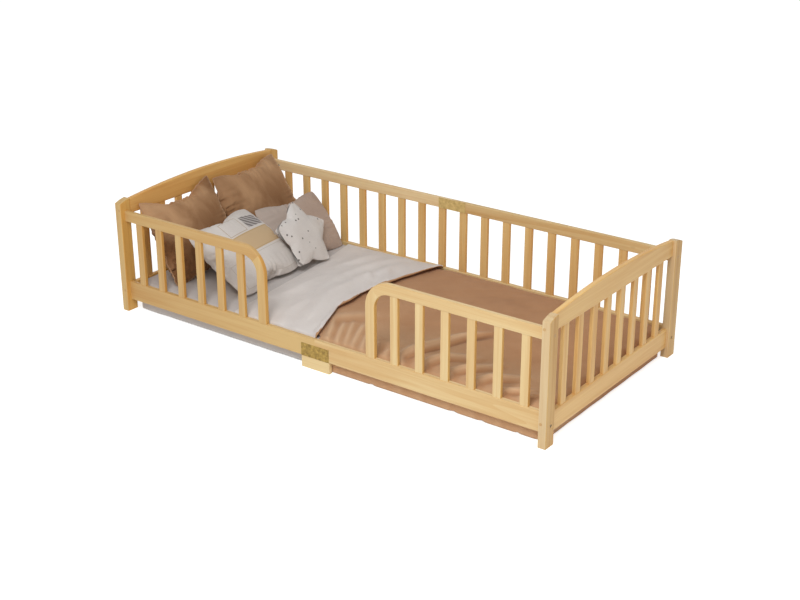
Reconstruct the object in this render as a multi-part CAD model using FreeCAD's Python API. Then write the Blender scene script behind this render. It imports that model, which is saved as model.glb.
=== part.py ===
import FreeCAD
import Part
import math
import os

# Toddler floor bed: a low frame of solid pine with slatted ends, a slatted back,
# two short guards with rounded ends in front, and its mattress, bedding and cushions.
# Millimetres, +Z up. X runs along the bed, from the headboard (-X) to the footboard (+X).
# -Y is the front, where the entry gap is. The origin is on the floor, under the middle.

# ---------------------------------------------------------------- driving dimensions
# frame, over the posts
BED_LENGTH = 2080.0
BED_WIDTH = 980.0

# posts
POST_THICK = 33.0          # along X
POST_DEEP = 55.0           # along Y
POST_OUTER_TOP = 474.0     # height of the outer edge
POST_INNER_TOP = 489.0     # height of the edge next to the rail
POST_CROWN = 2.5           # how far the sloping top bulges over its chord

# rails
RAIL_THICK = 20.0
SIDE_RECESS = 22.0         # from the outer face of a post to a side rail, along Y
END_RECESS = 13.0          # from the outer face of a post to an end rail, along X
SIDE_LOWER_Z = 47.0        # underside of the lower side rails
END_LOWER_Z = 40.0         # underside of the lower end rails
LOWER_RAIL_TALL = 80.0
SIDE_TOP_Z = 395.0         # underside of the top side rails
SIDE_TOP_TALL = 45.0
END_TOP_Z = 422.0          # underside of the arched end rails
ARCH_END_TALL = 64.0       # height of an arched rail where it meets the posts
ARCH_MID_TALL = 89.0       # and in the middle of the bed
EASE = 4.0                 # rounding of the long timber edges

# slats
SLAT_WIDE = 35.0
SLAT_THICK = 15.0
SLAT_EASE = 3.0
TENON = 12.0               # depth of each slat in its mortises
END_SLATS = 8
BACK_SLATS_PER_HALF = 9

# front guards, one at each side of the entry gap
ENTRY_GAP = 490.0
STILE_WIDE = 42.0
GUARD_OUTER_R = 110.0
GUARD_INNER_R = 65.0
GUARD_SLATS = 6
GUARD_FIRST_GAP = 70.5     # from the end stile to the first slat
GUARD_LAST_GAP = 57.0      # from the last slat to the post

# centre feet and joint plates, where each long rail is made of two halves
FOOT_WIDE = 137.0
FOOT_EASE = 3.0
PLATE_WIDE = 136.0
PLATE_TALL = 54.0
PLATE_THICK = 1.8
PLATE_INLAY = 1.2
PLATE_RIM_GAP = 0.4
PLATE_CORNER_R = 1.5
PLATE_LIFT = 0.5           # lower edge of a lower plate above the rail's underside
BOSS_R = 4.5
BOSS_LONG = 9.0
BOSS_IN_X = 50.0           # bosses of a lower plate, from its middle along X
BOSS_IN_Z = 13.0           # and along Z
TOP_BOSS_X = (22.0, 53.0)  # bosses of the top plate, in one row above the tenons
TOP_BOSS_RISE = 6.5        # that row over the middle of the plate
PLATE_SCREW_R = 2.0
PLATE_SCREW_HEAD_R = 4.5
PLATE_SCREW_HEAD = 2.2
PLATE_TAP_TIP = 1.0        # the tapped hole ends this far from the plate
PLATE_SCREW_TIP_GAP = 2.0  # and the screw's tip this far

# bolts through the posts into the side rails, with barrel nuts
BOLT_R = 3.0
BOLT_HOLE_R = 3.5
BOLT_HEAD_R = 5.5
BOLT_HEAD_LONG = 5.0
BOLT_SOCKET_R = 2.3
BOLT_SOCKET_DEEP = 3.0
COUNTERBORE_R = 6.5
COUNTERBORE_DEEP = 9.0
BOLT_REACH = 52.0          # from the end of the rail
NUT_R = 5.0
NUT_LONG = 14.0
NUT_IN = 40.0              # centre of the barrel nut from the end of the rail
SIDE_BOLT_LOW_Z = 80.0
CAP_LONG = 3.0

# screws through the posts into the end rails, under flush wooden plugs
SCREW_R = 3.0
SCREW_HEAD_R = 5.0
SCREW_HEAD_LONG = 4.0
SCREW_REACH = 45.0
PLUG_R = 6.0
PLUG_LONG = 5.5
PLUG_BORE_DEEP = 10.0
END_SCREW_LOW_Z = 92.0
END_SCREW_TOP_Z = 445.0

# dowels
DOWEL_R = 4.0
DOWEL_HALF = 18.0
SIDE_DOWEL_LOW_Z = 108.0
SIDE_DOWEL_TOP_Z = 430.0
END_DOWEL_LOW_Z = 60.0
END_DOWEL_TOP_Z = 468.0
STILE_DOWEL_R = 3.0
STILE_DOWEL_APART = 18.0

# mattress and fitted sheet
MATTRESS_SIDE_GAP = 10.0   # from the mattress to the inside of a side rail
MATTRESS_END_GAP = 7.0
MATTRESS_TALL = 118.0
MATTRESS_CORNER_R = 40.0
MATTRESS_EDGE_R = 14.0
SHEET_THICK = 1.5
HEM_Z = 3.0
CLOTH_GAP = 0.3

# bedspread over the foot half: (from the mattress's head end, shoulder height, crown height)
SPREAD_SECTIONS = (
    (810.0, 5.0, 14.0),
    (1060.0, 7.0, 30.0),
    (1420.0, 7.0, 27.0),
    (1760.0, 6.0, 20.0),
)
SPREAD_FOOT_RISE = (5.0, 10.0)
SPREAD_SIDE = 6.6          # thickness of the drop beside the mattress
SPREAD_END = 4.4           # thickness of the drop at the foot
SPREAD_SHOULDER_R = 24.0

# turned-back duvet between the pillows and the bedspread, measured in the same way
DUVET_SECTIONS = (
    (420.0, 4.0, 8.0),
    (530.0, 5.0, 9.0),
    (650.0, 8.0, 30.0),
    (830.0, 10.0, 46.0),
    (1010.0, 10.0, 47.0),
)
DUVET_SIDE = 4.4
DUVET_HEM_Z = 96.0
DUVET_HEAD_FRONT = 560.0   # its head edge at the front, in the middle and at the back
DUVET_HEAD_MID = 524.0
DUVET_HEAD_BACK = 444.0
DUVET_FOOT_FRONT = 988.0   # and its foot edge
DUVET_FOOT_MID = 888.0
DUVET_FOOT_BACK = 955.0

# cushions: width and middle as shares of the mattress's width and half width, the others in mm:
# (width, height, thickness, middle from the headboard, middle across, lean from upright,
# turn about Z, roll in its own plane, height of the lowest point over the sheet)
VELVET_FRONT = (0.4703, 384.0, 116.0, 109.0, -0.427, 28.0, -2.0, 3.4, 0.3)
VELVET_BACK = (0.4703, 400.0, 116.0, 121.0, 0.534, 31.0, 0.0, 2.4, 0.3)
PATCHED = (0.4612, 360.0, 130.0, 353.0, -0.3105, 54.0, 2.2, 3.5, 0.3)
TAUPE = (0.4338, 286.0, 92.0, 335.0, 0.548, 40.0, -3.9, -0.2, 0.3)
STAR = (0.2032, 90.0, 62.0, 444.0, 0.3196, 33.0, 6.8, -10.6, 6.3)

# ---------------------------------------------------------------- places worked out
HALF_L = BED_LENGTH / 2
HALF_W = BED_WIDTH / 2
POST_X = HALF_L - POST_THICK               # inner face of the posts
POST_Y = HALF_W - POST_DEEP
SIDE_OUT = HALF_W - SIDE_RECESS            # faces of the side rails
SIDE_IN = SIDE_OUT - RAIL_THICK
SIDE_MID = (SIDE_OUT + SIDE_IN) / 2
END_OUT = HALF_L - END_RECESS              # faces of the end rails
END_IN = END_OUT - RAIL_THICK
END_MID = (END_OUT + END_IN) / 2
SIDE_LOWER_TOP = SIDE_LOWER_Z + LOWER_RAIL_TALL
END_LOWER_TOP = END_LOWER_Z + LOWER_RAIL_TALL
SIDE_TOP_TOP = SIDE_TOP_Z + SIDE_TOP_TALL
SIDE_BOLT_TOP_Z = SIDE_TOP_Z + SIDE_TOP_TALL / 2
BOLT_SEAT = HALF_L - COUNTERBORE_DEEP      # where a bolt's head sits
SCREW_SEAT = HALF_W - PLUG_BORE_DEEP
STILE_X = ENTRY_GAP / 2                    # edge of a guard at the entry gap
FAR = BED_LENGTH                           # beyond every piece, for blocks that only cut
SHEET_TOP = MATTRESS_TALL + SHEET_THICK

V = FreeCAD.Vector
UP = V(0, 0, 1)
ORIGIN = V(0, 0, 0)


# ---------------------------------------------------------------- small helpers
def block(x, y, z):
    """A box between the low and high values of x, y and z."""
    low = V(min(x), min(y), min(z))
    return Part.makeBox(max(x) - min(x), max(y) - min(y), max(z) - min(z), low)


def rod(radius, start, end):
    """A round bar from one point to another."""
    along = end - start
    return Part.makeCylinder(radius, along.Length, start, along)


def fused(shapes):
    """One solid of touching shapes."""
    first = shapes[0]
    return first.multiFuse(shapes[1:]).removeSplitter() if len(shapes) > 1 else first


def cut(shape, tools):
    """The shape with all the tools taken out."""
    return shape.cut(tools) if tools else shape


def mirrored(shape, flip_x, flip_y):
    """The shape mirrored across the middle of the bed in X, in Y or in both."""
    if flip_x:
        shape = shape.mirror(ORIGIN, V(1, 0, 0))
    if flip_y:
        shape = shape.mirror(ORIGIN, V(0, 1, 0))
    return shape


def edges_along(shape, axis):
    """The straight edges that run along an axis."""
    found = []
    for edge in shape.Edges:
        run = edge.Vertexes[-1].Point - edge.Vertexes[0].Point
        if run.Length > 0 and abs(run.dot(axis)) > 0.999 * run.Length:
            found.append(edge)
    return found


def eased_bar(x, y, z, axis, radius):
    """A rectangular bar whose long edges are rounded."""
    bar = block(x, y, z)
    return bar.makeFillet(radius, edges_along(bar, axis))


def rounded_outline(points, reaches, z):
    """A closed wire of lines and tangent arcs: each corner's arc starts its reach away."""
    count = len(points)
    starts = []
    edges = []
    for i, point in enumerate(points):
        corner = V(point[0], point[1], z)
        back = V(points[i - 1][0], points[i - 1][1], z) - corner
        ahead = V(points[(i + 1) % count][0], points[(i + 1) % count][1], z) - corner
        back.normalize()
        ahead.normalize()
        reach = reaches[i]
        half_angle = back.getAngle(ahead) / 2
        to_centre = (back + ahead).normalize() * (reach / math.cos(half_angle))
        radius = reach * math.tan(half_angle)
        centre = corner + to_centre
        middle = centre - to_centre.normalize() * radius
        starts.append((corner + back * reach, middle, corner + ahead * reach))
    for i, (first, middle, last) in enumerate(starts):
        edges.append(Part.Arc(first, middle, last).toShape())
        edges.append(Part.makeLine(last, starts[(i + 1) % count][0]))
    return Part.Wire(edges)


def save(name, shapes):
    """Write one node, a solid or a group of separate solids."""
    shape = shapes[0] if len(shapes) == 1 else Part.makeCompound(shapes)
    for solid in shape.Solids:
        if not solid.isValid() or solid.Volume <= 0:
            print("CHECK", name, solid.isValid(), round(solid.Volume, 1))
    shape.exportStep("parts/" + name + ".step")


# ---------------------------------------------------------------- holes shared by joints
def side_bolt_holes(z):
    """The counterbore and the shank's hole of a bolt, through a post and into a side rail."""
    return [
        rod(COUNTERBORE_R, V(BOLT_SEAT, SIDE_MID, z), V(HALF_L, SIDE_MID, z)),
        rod(BOLT_HOLE_R, V(POST_X - BOLT_REACH - 1, SIDE_MID, z), V(HALF_L, SIDE_MID, z)),
    ]


def nut_hole(z):
    """The cross hole of a barrel nut, bored from the inner face of a side rail."""
    x = POST_X - NUT_IN
    return rod(NUT_R, V(x, SIDE_IN, z), V(x, SIDE_MID + NUT_LONG / 2, z))


def end_screw_holes(z):
    """The plug's bore and the shank's hole of a screw, through a post into an end rail."""
    return [
        rod(PLUG_R, V(END_MID, SCREW_SEAT, z), V(END_MID, HALF_W, z)),
        rod(SCREW_R, V(END_MID, POST_Y - SCREW_REACH, z), V(END_MID, HALF_W, z)),
    ]


def side_dowel(z):
    """A dowel between a post and a side rail."""
    return rod(DOWEL_R, V(POST_X - DOWEL_HALF, SIDE_MID, z), V(POST_X + DOWEL_HALF, SIDE_MID, z))


def end_dowel(z):
    """A dowel between a post and an end rail."""
    return rod(DOWEL_R, V(END_MID, POST_Y - DOWEL_HALF, z), V(END_MID, POST_Y + DOWEL_HALF, z))


def all_side_holes():
    holes = []
    for z in (SIDE_BOLT_LOW_Z, SIDE_BOLT_TOP_Z):
        holes += side_bolt_holes(z)
    for z in (SIDE_DOWEL_LOW_Z, SIDE_DOWEL_TOP_Z):
        holes.append(side_dowel(z))
    return holes


def all_end_holes():
    holes = []
    for z in (END_SCREW_LOW_Z, END_SCREW_TOP_Z):
        holes += end_screw_holes(z)
    for z in (END_DOWEL_LOW_Z, END_DOWEL_TOP_Z):
        holes.append(end_dowel(z))
    return holes


# ---------------------------------------------------------------- posts
def post():
    """The post at +X and +Y: its top slopes up in a shallow curve towards the rail."""
    foot_out = V(POST_X, HALF_W, 0)
    foot_in = V(POST_X, POST_Y, 0)
    top_out = V(POST_X, HALF_W, POST_OUTER_TOP)
    top_in = V(POST_X, POST_Y, POST_INNER_TOP)
    middle = (top_out + top_in) * 0.5 + V(0, 0, POST_CROWN)
    wire = Part.Wire([
        Part.makeLine(foot_in, foot_out),
        Part.makeLine(foot_out, top_out),
        Part.Arc(top_out, middle, top_in).toShape(),
        Part.makeLine(top_in, foot_in),
    ])
    body = Part.Face(wire).extrude(V(POST_THICK, 0, 0))
    edges = [e for e in body.Edges if e.BoundBox.ZMax > 1.0]
    body = body.makeFillet(EASE, edges)
    return cut(body, all_side_holes() + all_end_holes())


# ---------------------------------------------------------------- slats
def side_slat(x):
    """A slat of a long side, at +Y, tenoned into both rails."""
    return eased_bar(
        (x - SLAT_WIDE / 2, x + SLAT_WIDE / 2),
        (SIDE_MID - SLAT_THICK / 2, SIDE_MID + SLAT_THICK / 2),
        (SIDE_LOWER_TOP - TENON, SIDE_TOP_Z + TENON),
        UP,
        SLAT_EASE,
    )


def end_slat(y):
    """A slat of an end, at +X, tenoned into both rails."""
    return eased_bar(
        (END_MID - SLAT_THICK / 2, END_MID + SLAT_THICK / 2),
        (y - SLAT_WIDE / 2, y + SLAT_WIDE / 2),
        (END_LOWER_TOP - TENON, END_TOP_Z + TENON),
        UP,
        SLAT_EASE,
    )


def end_slat_places():
    """The slats of an end share one gap, with the same gap at the posts."""
    gap = (2 * POST_Y - END_SLATS * SLAT_WIDE) / (END_SLATS + 1)
    first = -POST_Y + gap + SLAT_WIDE / 2
    return [first + i * (gap + SLAT_WIDE) for i in range(END_SLATS)]


def back_slat_places():
    """The slats of the back share one gap, so the middle gap is over the rail joint."""
    total = 2 * BACK_SLATS_PER_HALF
    gap = (2 * POST_X - total * SLAT_WIDE) / (total + 1)
    return [gap / 2 + SLAT_WIDE / 2 + i * (gap + SLAT_WIDE) for i in range(BACK_SLATS_PER_HALF)]


def guard_slat_places():
    """The slats of a guard are evenly spread between its stile and the post."""
    first = STILE_X + STILE_WIDE + GUARD_FIRST_GAP + SLAT_WIDE / 2
    last = POST_X - GUARD_LAST_GAP - SLAT_WIDE / 2
    pitch = (last - first) / (GUARD_SLATS - 1)
    return [first + i * pitch for i in range(GUARD_SLATS)]


# ---------------------------------------------------------------- ends of the bed
def end_lower_rail():
    rail = eased_bar(
        (END_IN, END_OUT), (-POST_Y, POST_Y), (END_LOWER_Z, END_LOWER_TOP), V(0, 1, 0), EASE
    )
    holes = end_screw_holes(END_SCREW_LOW_Z) + [end_dowel(END_DOWEL_LOW_Z)]
    holes += [mirrored(hole, False, True) for hole in holes]
    return cut(rail, holes + [end_slat(y) for y in end_slat_places()])


def end_top_rail():
    """The arched rail: straight below, a shallow arc above."""
    low = END_TOP_Z
    high = END_TOP_Z + ARCH_END_TALL
    crest = END_TOP_Z + ARCH_MID_TALL
    corners = [V(END_IN, -POST_Y, low), V(END_IN, POST_Y, low)]
    tops = [V(END_IN, POST_Y, high), V(END_IN, -POST_Y, high)]
    wire = Part.Wire([
        Part.makeLine(corners[0], corners[1]),
        Part.makeLine(corners[1], tops[0]),
        Part.Arc(tops[0], V(END_IN, 0, crest), tops[1]).toShape(),
        Part.makeLine(tops[1], corners[0]),
    ])
    rail = Part.Face(wire).extrude(V(RAIL_THICK, 0, 0))
    long_edges = [e for e in rail.Edges if e.BoundBox.YLength > POST_Y]
    rail = rail.makeFillet(EASE, long_edges)
    holes = end_screw_holes(END_SCREW_TOP_Z) + [end_dowel(END_DOWEL_TOP_Z)]
    holes += [mirrored(hole, False, True) for hole in holes]
    return cut(rail, holes + [end_slat(y) for y in end_slat_places()])


# ---------------------------------------------------------------- joint plates
def joint_plate(low_z, tall):
    """A plate on the outer face of the +Y rails, with bosses that pass into the rails."""
    inner = SIDE_OUT - PLATE_INLAY
    plate = eased_bar(
        (-PLATE_WIDE / 2, PLATE_WIDE / 2),
        (inner, inner + PLATE_THICK),
        (low_z, low_z + tall),
        V(0, 1, 0),
        PLATE_CORNER_R,
    )
    bosses = [
        rod(BOSS_R, V(x, inner - BOSS_LONG, z), V(x, inner, z)) for x, z in boss_places(low_z, tall)
    ]
    plate = fused([plate] + bosses)
    taps = [
        rod(PLATE_SCREW_R, V(x, inner - BOSS_LONG, z), V(x, inner - PLATE_TAP_TIP, z))
        for x, z in boss_places(low_z, tall)
    ]
    return cut(plate, taps)


def boss_places(low_z, tall):
    """Where a plate's bosses stand: two rows on a lower plate, one on the top plate."""
    middle = low_z + tall / 2
    if low_z >= SIDE_TOP_Z:
        return [(side * x, middle + TOP_BOSS_RISE) for side in (-1, 1) for x in TOP_BOSS_X]
    return [(sx * BOSS_IN_X, middle + sz * BOSS_IN_Z) for sx in (-1, 1) for sz in (-1, 1)]


def plate_pocket(low_z, tall):
    """What the rails lose to a plate: its inlay, its bosses and its screws."""
    inner = SIDE_OUT - PLATE_INLAY
    half = PLATE_WIDE / 2 + PLATE_RIM_GAP
    gap = PLATE_RIM_GAP
    pocket = [block((-half, half), (inner, SIDE_OUT + 5), (low_z - gap, low_z + tall + gap))]
    for x, z in boss_places(low_z, tall):
        pocket.append(rod(BOSS_R, V(x, inner - BOSS_LONG, z), V(x, inner, z)))
        pocket.append(rod(PLATE_SCREW_R, V(x, SIDE_IN, z), V(x, inner, z)))
        pocket.append(screw_seat(x, z))
    return pocket


def screw_seat(x, z):
    """The room for a screw's head, sunk flush into the rail's inner face."""
    return rod(PLATE_SCREW_HEAD_R, V(x, SIDE_IN, z), V(x, SIDE_IN + PLATE_SCREW_HEAD, z))


def plate_screws(low_z, tall):
    """Screws from the other face of the rail into the bosses."""
    inner = SIDE_OUT - PLATE_INLAY
    screws = []
    for x, z in boss_places(low_z, tall):
        shank = rod(PLATE_SCREW_R, V(x, SIDE_IN, z), V(x, inner - PLATE_SCREW_TIP_GAP, z))
        screws.append(fused([screw_seat(x, z), shank]))
    return screws


LOWER_PLATE_Z = SIDE_LOWER_Z + PLATE_LIFT


# ---------------------------------------------------------------- long sides
def side_lower_rail(slat_places, stile):
    """The +X half of a lower side rail, at +Y."""
    rail = eased_bar(
        (0, POST_X), (SIDE_IN, SIDE_OUT), (SIDE_LOWER_Z, SIDE_LOWER_TOP), V(1, 0, 0), EASE
    )
    holes = side_bolt_holes(SIDE_BOLT_LOW_Z)
    holes += [side_dowel(SIDE_DOWEL_LOW_Z), nut_hole(SIDE_BOLT_LOW_Z)]
    holes += plate_pocket(LOWER_PLATE_Z, PLATE_TALL) + foot_dowels()
    if stile:
        holes += stile_dowels()
    return cut(rail, holes + [side_slat(x) for x in slat_places])


def back_top_rail():
    """The +X half of the back's top rail; its joint plate is on the inner face."""
    rail = eased_bar(
        (0, POST_X), (SIDE_IN, SIDE_OUT), (SIDE_TOP_Z, SIDE_TOP_TOP), V(1, 0, 0), EASE
    )
    holes = side_bolt_holes(SIDE_BOLT_TOP_Z)
    holes += [side_dowel(SIDE_DOWEL_TOP_Z), nut_hole(SIDE_BOLT_TOP_Z)]
    holes += [turned_in(tool) for tool in plate_pocket(SIDE_TOP_Z, SIDE_TOP_TALL)]
    return cut(rail, holes + [side_slat(x) for x in back_slat_places()])


def turned_in(shape):
    """A plate or its pocket, turned over from the rail's outer face to its inner one."""
    turned = shape.copy()
    turned.rotate(V(0, SIDE_MID, 0), UP, 180)
    return turned


def foot_dowels():
    """Two dowels that hold a centre foot under the joint of its rails."""
    z = SIDE_LOWER_Z
    return [
        rod(DOWEL_R, V(x, SIDE_MID, z - DOWEL_HALF), V(x, SIDE_MID, z + DOWEL_HALF))
        for x in (-FOOT_WIDE / 4, FOOT_WIDE / 4)
    ]


def centre_foot():
    """The block that carries the joint of the long rails, at +Y."""
    foot = eased_bar(
        (-FOOT_WIDE / 2, FOOT_WIDE / 2), (SIDE_IN, SIDE_OUT), (0, SIDE_LOWER_Z), UP, FOOT_EASE
    )
    return cut(foot, foot_dowels())


# ---------------------------------------------------------------- front guards
def guard_frame():
    """The +X guard's top rail and end stile as one outline, drawn at +Y."""
    x0 = STILE_X
    x1 = x0 + STILE_WIDE
    z0 = SIDE_LOWER_TOP
    z1 = SIDE_TOP_Z
    z2 = SIDE_TOP_TOP
    slope = math.sqrt(0.5)
    outer = V(x0 + GUARD_OUTER_R, SIDE_IN, z2 - GUARD_OUTER_R)
    inner = V(x1 + GUARD_INNER_R, SIDE_IN, z1 - GUARD_INNER_R)
    outer_mid = outer + V(-slope, 0, slope) * GUARD_OUTER_R
    inner_mid = inner + V(-slope, 0, slope) * GUARD_INNER_R
    outer_start = outer + V(-GUARD_OUTER_R, 0, 0)
    outer_end = outer + V(0, 0, GUARD_OUTER_R)
    inner_start = inner + V(-GUARD_INNER_R, 0, 0)
    inner_end = inner + V(0, 0, GUARD_INNER_R)
    toe = V(x0, SIDE_IN, z0)
    heel = V(x1, SIDE_IN, z0)
    post_high = V(POST_X, SIDE_IN, z2)
    post_low = V(POST_X, SIDE_IN, z1)
    wire = Part.Wire([
        Part.makeLine(toe, outer_start),
        Part.Arc(outer_start, outer_mid, outer_end).toShape(),
        Part.makeLine(outer_end, post_high),
        Part.makeLine(post_high, post_low),
        Part.makeLine(post_low, inner_end),
        Part.Arc(inner_end, inner_mid, inner_start).toShape(),
        Part.makeLine(inner_start, heel),
        Part.makeLine(heel, toe),
    ])
    body = Part.Face(wire).extrude(V(0, RAIL_THICK, 0))
    long_edges = []
    for edge in body.Edges:
        box = edge.BoundBox
        across = box.YLength > 1.0
        at_floor_end = box.ZMax < z0 + 1.0
        at_post_end = box.XMin > POST_X - 1.0
        if not (across or at_floor_end or at_post_end):
            long_edges.append(edge)
    return body.makeFillet(EASE, long_edges)


def mitre_wedge():
    """The space on the stile's side of the mitre between the outer and inner corners."""
    outer = V(STILE_X, 0, SIDE_TOP_TOP)
    inner = V(STILE_X + STILE_WIDE, 0, SIDE_TOP_Z)
    along = (inner - outer).normalize()
    far_out = outer - along * 60
    far_in = inner + along * 60
    low_in = V(far_in.x, 0, SIDE_LOWER_TOP - 10)
    low_out = V(STILE_X - 60, 0, SIDE_LOWER_TOP - 10)
    high_out = V(STILE_X - 60, 0, far_out.z)
    points = [far_out, far_in, low_in, low_out, high_out, far_out]
    shift = V(0, SIDE_IN - 5, 0)
    face = Part.Face(Part.makePolygon([p + shift for p in points]))
    return face.extrude(V(0, RAIL_THICK + 10, 0))


def mitre_dowel():
    """A dowel square to the mitre, in the thick of the rounded corner."""
    outer = V(STILE_X, SIDE_MID, SIDE_TOP_TOP)
    inner = V(STILE_X + STILE_WIDE, SIDE_MID, SIDE_TOP_Z)
    along = (inner - outer).normalize()
    square = V(-along.z, 0, along.x)
    middle = outer + along * ((inner - outer).Length * 0.92)
    return rod(STILE_DOWEL_R, middle - square * DOWEL_HALF, middle + square * DOWEL_HALF)


def stile_dowels():
    """Two dowels that stand the end stile on the lower rail."""
    middle = STILE_X + STILE_WIDE / 2
    z = SIDE_LOWER_TOP
    return [
        rod(STILE_DOWEL_R, V(x, SIDE_MID, z - DOWEL_HALF), V(x, SIDE_MID, z + DOWEL_HALF))
        for x in (middle - STILE_DOWEL_APART / 2, middle + STILE_DOWEL_APART / 2)
    ]


def guard_stile():
    return cut(guard_frame().common(mitre_wedge()), stile_dowels() + [mitre_dowel()])


def guard_top_rail():
    holes = side_bolt_holes(SIDE_BOLT_TOP_Z)
    holes += [side_dowel(SIDE_DOWEL_TOP_Z), nut_hole(SIDE_BOLT_TOP_Z), mitre_dowel()]
    return cut(guard_frame(), [mitre_wedge()] + holes + [side_slat(x) for x in guard_slat_places()])


# ---------------------------------------------------------------- fasteners
def side_bolt(z):
    """A socket-headed bolt in its counterbore, with its shank in the rail."""
    head_end = BOLT_SEAT + BOLT_HEAD_LONG
    head = rod(BOLT_HEAD_R, V(BOLT_SEAT, SIDE_MID, z), V(head_end, SIDE_MID, z))
    shank = rod(BOLT_R, V(POST_X - BOLT_REACH, SIDE_MID, z), V(BOLT_SEAT, SIDE_MID, z))
    socket = rod(BOLT_SOCKET_R, V(head_end - BOLT_SOCKET_DEEP, SIDE_MID, z), V(head_end, SIDE_MID, z))
    return cut(fused([head, shank]), [socket])


def barrel_nut(z):
    x = POST_X - NUT_IN
    nut = rod(NUT_R, V(x, SIDE_MID - NUT_LONG / 2, z), V(x, SIDE_MID + NUT_LONG / 2, z))
    return cut(nut, [rod(BOLT_R, V(x - 10, SIDE_MID, z), V(x + 10, SIDE_MID, z))])


def bolt_cap(z):
    """A cap that closes the counterbore of an upper bolt, flush with the post."""
    return rod(COUNTERBORE_R, V(HALF_L - CAP_LONG, SIDE_MID, z), V(HALF_L, SIDE_MID, z))


def end_screw(z):
    head_end = SCREW_SEAT + SCREW_HEAD_LONG
    head = rod(SCREW_HEAD_R, V(END_MID, SCREW_SEAT, z), V(END_MID, head_end, z))
    shank = rod(SCREW_R, V(END_MID, POST_Y - SCREW_REACH, z), V(END_MID, SCREW_SEAT, z))
    return fused([head, shank])


def end_plug(z):
    """A wooden plug over an end screw, flush with the post."""
    return rod(PLUG_R, V(END_MID, HALF_W - PLUG_LONG, z), V(END_MID, HALF_W, z))


def at_four_corners(make, heights):
    """Copies of a fastener of the +X, +Y corner at all four posts."""
    return [
        mirrored(make(z), flip_x, flip_y)
        for flip_x in (False, True)
        for flip_y in (False, True)
        for z in heights
    ]


# ---------------------------------------------------------------- mattress and bedding
MATTRESS_X = POST_X - MATTRESS_END_GAP
MATTRESS_Y = SIDE_IN - MATTRESS_SIDE_GAP


def padded_box(grow):
    """The mattress, or its outline grown by a thickness, with soft corners and edges."""
    x = MATTRESS_X + grow
    y = MATTRESS_Y + grow
    body = block((-x, x), (-y, y), (-grow, MATTRESS_TALL + grow))
    body = body.makeFillet(MATTRESS_CORNER_R + grow, edges_along(body, UP))
    rims = []
    for edge in body.Edges:
        if edge.BoundBox.ZLength < 1.0:
            rims.append(edge)
    return body.makeFillet(MATTRESS_EDGE_R + grow, rims)


def above(z):
    """Everything above a height."""
    return block((-FAR, FAR), (-FAR, FAR), (z, FAR))


def fitted_sheet():
    return padded_box(SHEET_THICK).common(above(HEM_Z)).cut(padded_box(0))


def cover_section(x, half, bottom, shoulder, crown):
    """A cross-section of bedding laid over the mattress: two drops, shoulders and a crown."""
    r = SPREAD_SHOULDER_R
    side_top = shoulder - r
    bend = r * (1 - math.sqrt(0.5))
    a = V(x, -half, bottom)
    b = V(x, -half, side_top)
    c = V(x, -half + r, shoulder)
    d = V(x, half - r, shoulder)
    e = V(x, half, side_top)
    f = V(x, half, bottom)
    return Part.Wire([
        Part.makeLine(a, b),
        Part.Arc(b, V(x, -half + bend, shoulder - bend), c).toShape(),
        Part.Arc(c, V(x, 0, crown), d).toShape(),
        Part.Arc(d, V(x, half - bend, shoulder - bend), e).toShape(),
        Part.makeLine(e, f),
        Part.makeLine(f, a),
    ])


def from_head(distance):
    """The X of a place so far from the head end of the mattress."""
    return distance - MATTRESS_X


def cover_body(sections, half, bottom, grow):
    """Bedding lofted through its cross-sections, grown by a clearance."""
    wires = []
    for x, shoulder, crown in sections:
        wires.append(cover_section(
            x, half + grow, bottom, SHEET_TOP + shoulder + grow, SHEET_TOP + crown + grow
        ))
    return Part.makeLoft(wires, True, False)


SPREAD_FOOT_X = MATTRESS_X + SHEET_THICK + CLOTH_GAP + SPREAD_END


def bedspread_body(grow):
    half = MATTRESS_Y + SHEET_THICK + CLOTH_GAP + SPREAD_SIDE
    sections = [(from_head(d), shoulder, crown) for d, shoulder, crown in SPREAD_SECTIONS]
    sections.append((SPREAD_FOOT_X,) + SPREAD_FOOT_RISE)
    return cover_body(sections, half, HEM_Z, grow)


def bedspread():
    """The brown bedspread over the foot half, tucked down inside the rails to the floor."""
    return bedspread_body(0).cut(padded_box(SHEET_THICK + CLOTH_GAP))


def duvet():
    """The pale duvet, turned back over the head edge of the bedspread."""
    half = MATTRESS_Y + SHEET_THICK + CLOTH_GAP + DUVET_SIDE
    sections = [(from_head(d), shoulder, crown) for d, shoulder, crown in DUVET_SECTIONS]
    body = cover_body(sections, half, DUVET_HEM_Z, 0)
    head_front = V(from_head(DUVET_HEAD_FRONT), -HALF_W, 0)
    head_mid = V(from_head(DUVET_HEAD_MID), 0, 0)
    head_back = V(from_head(DUVET_HEAD_BACK), HALF_W, 0)
    foot_back = V(from_head(DUVET_FOOT_BACK), HALF_W, 0)
    foot_mid = V(from_head(DUVET_FOOT_MID), 0, 0)
    foot_front = V(from_head(DUVET_FOOT_FRONT), -HALF_W, 0)
    outline = Part.Wire([
        Part.Arc(head_front, head_mid, head_back).toShape(),
        Part.makeLine(head_back, foot_back),
        Part.Arc(foot_back, foot_mid, foot_front).toShape(),
        Part.makeLine(foot_front, head_front),
    ])
    keep = Part.Face(outline).extrude(V(0, 0, FAR))
    under = [padded_box(SHEET_THICK + CLOTH_GAP), bedspread_body(CLOTH_GAP)]
    return body.common(keep).cut(under)


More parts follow.
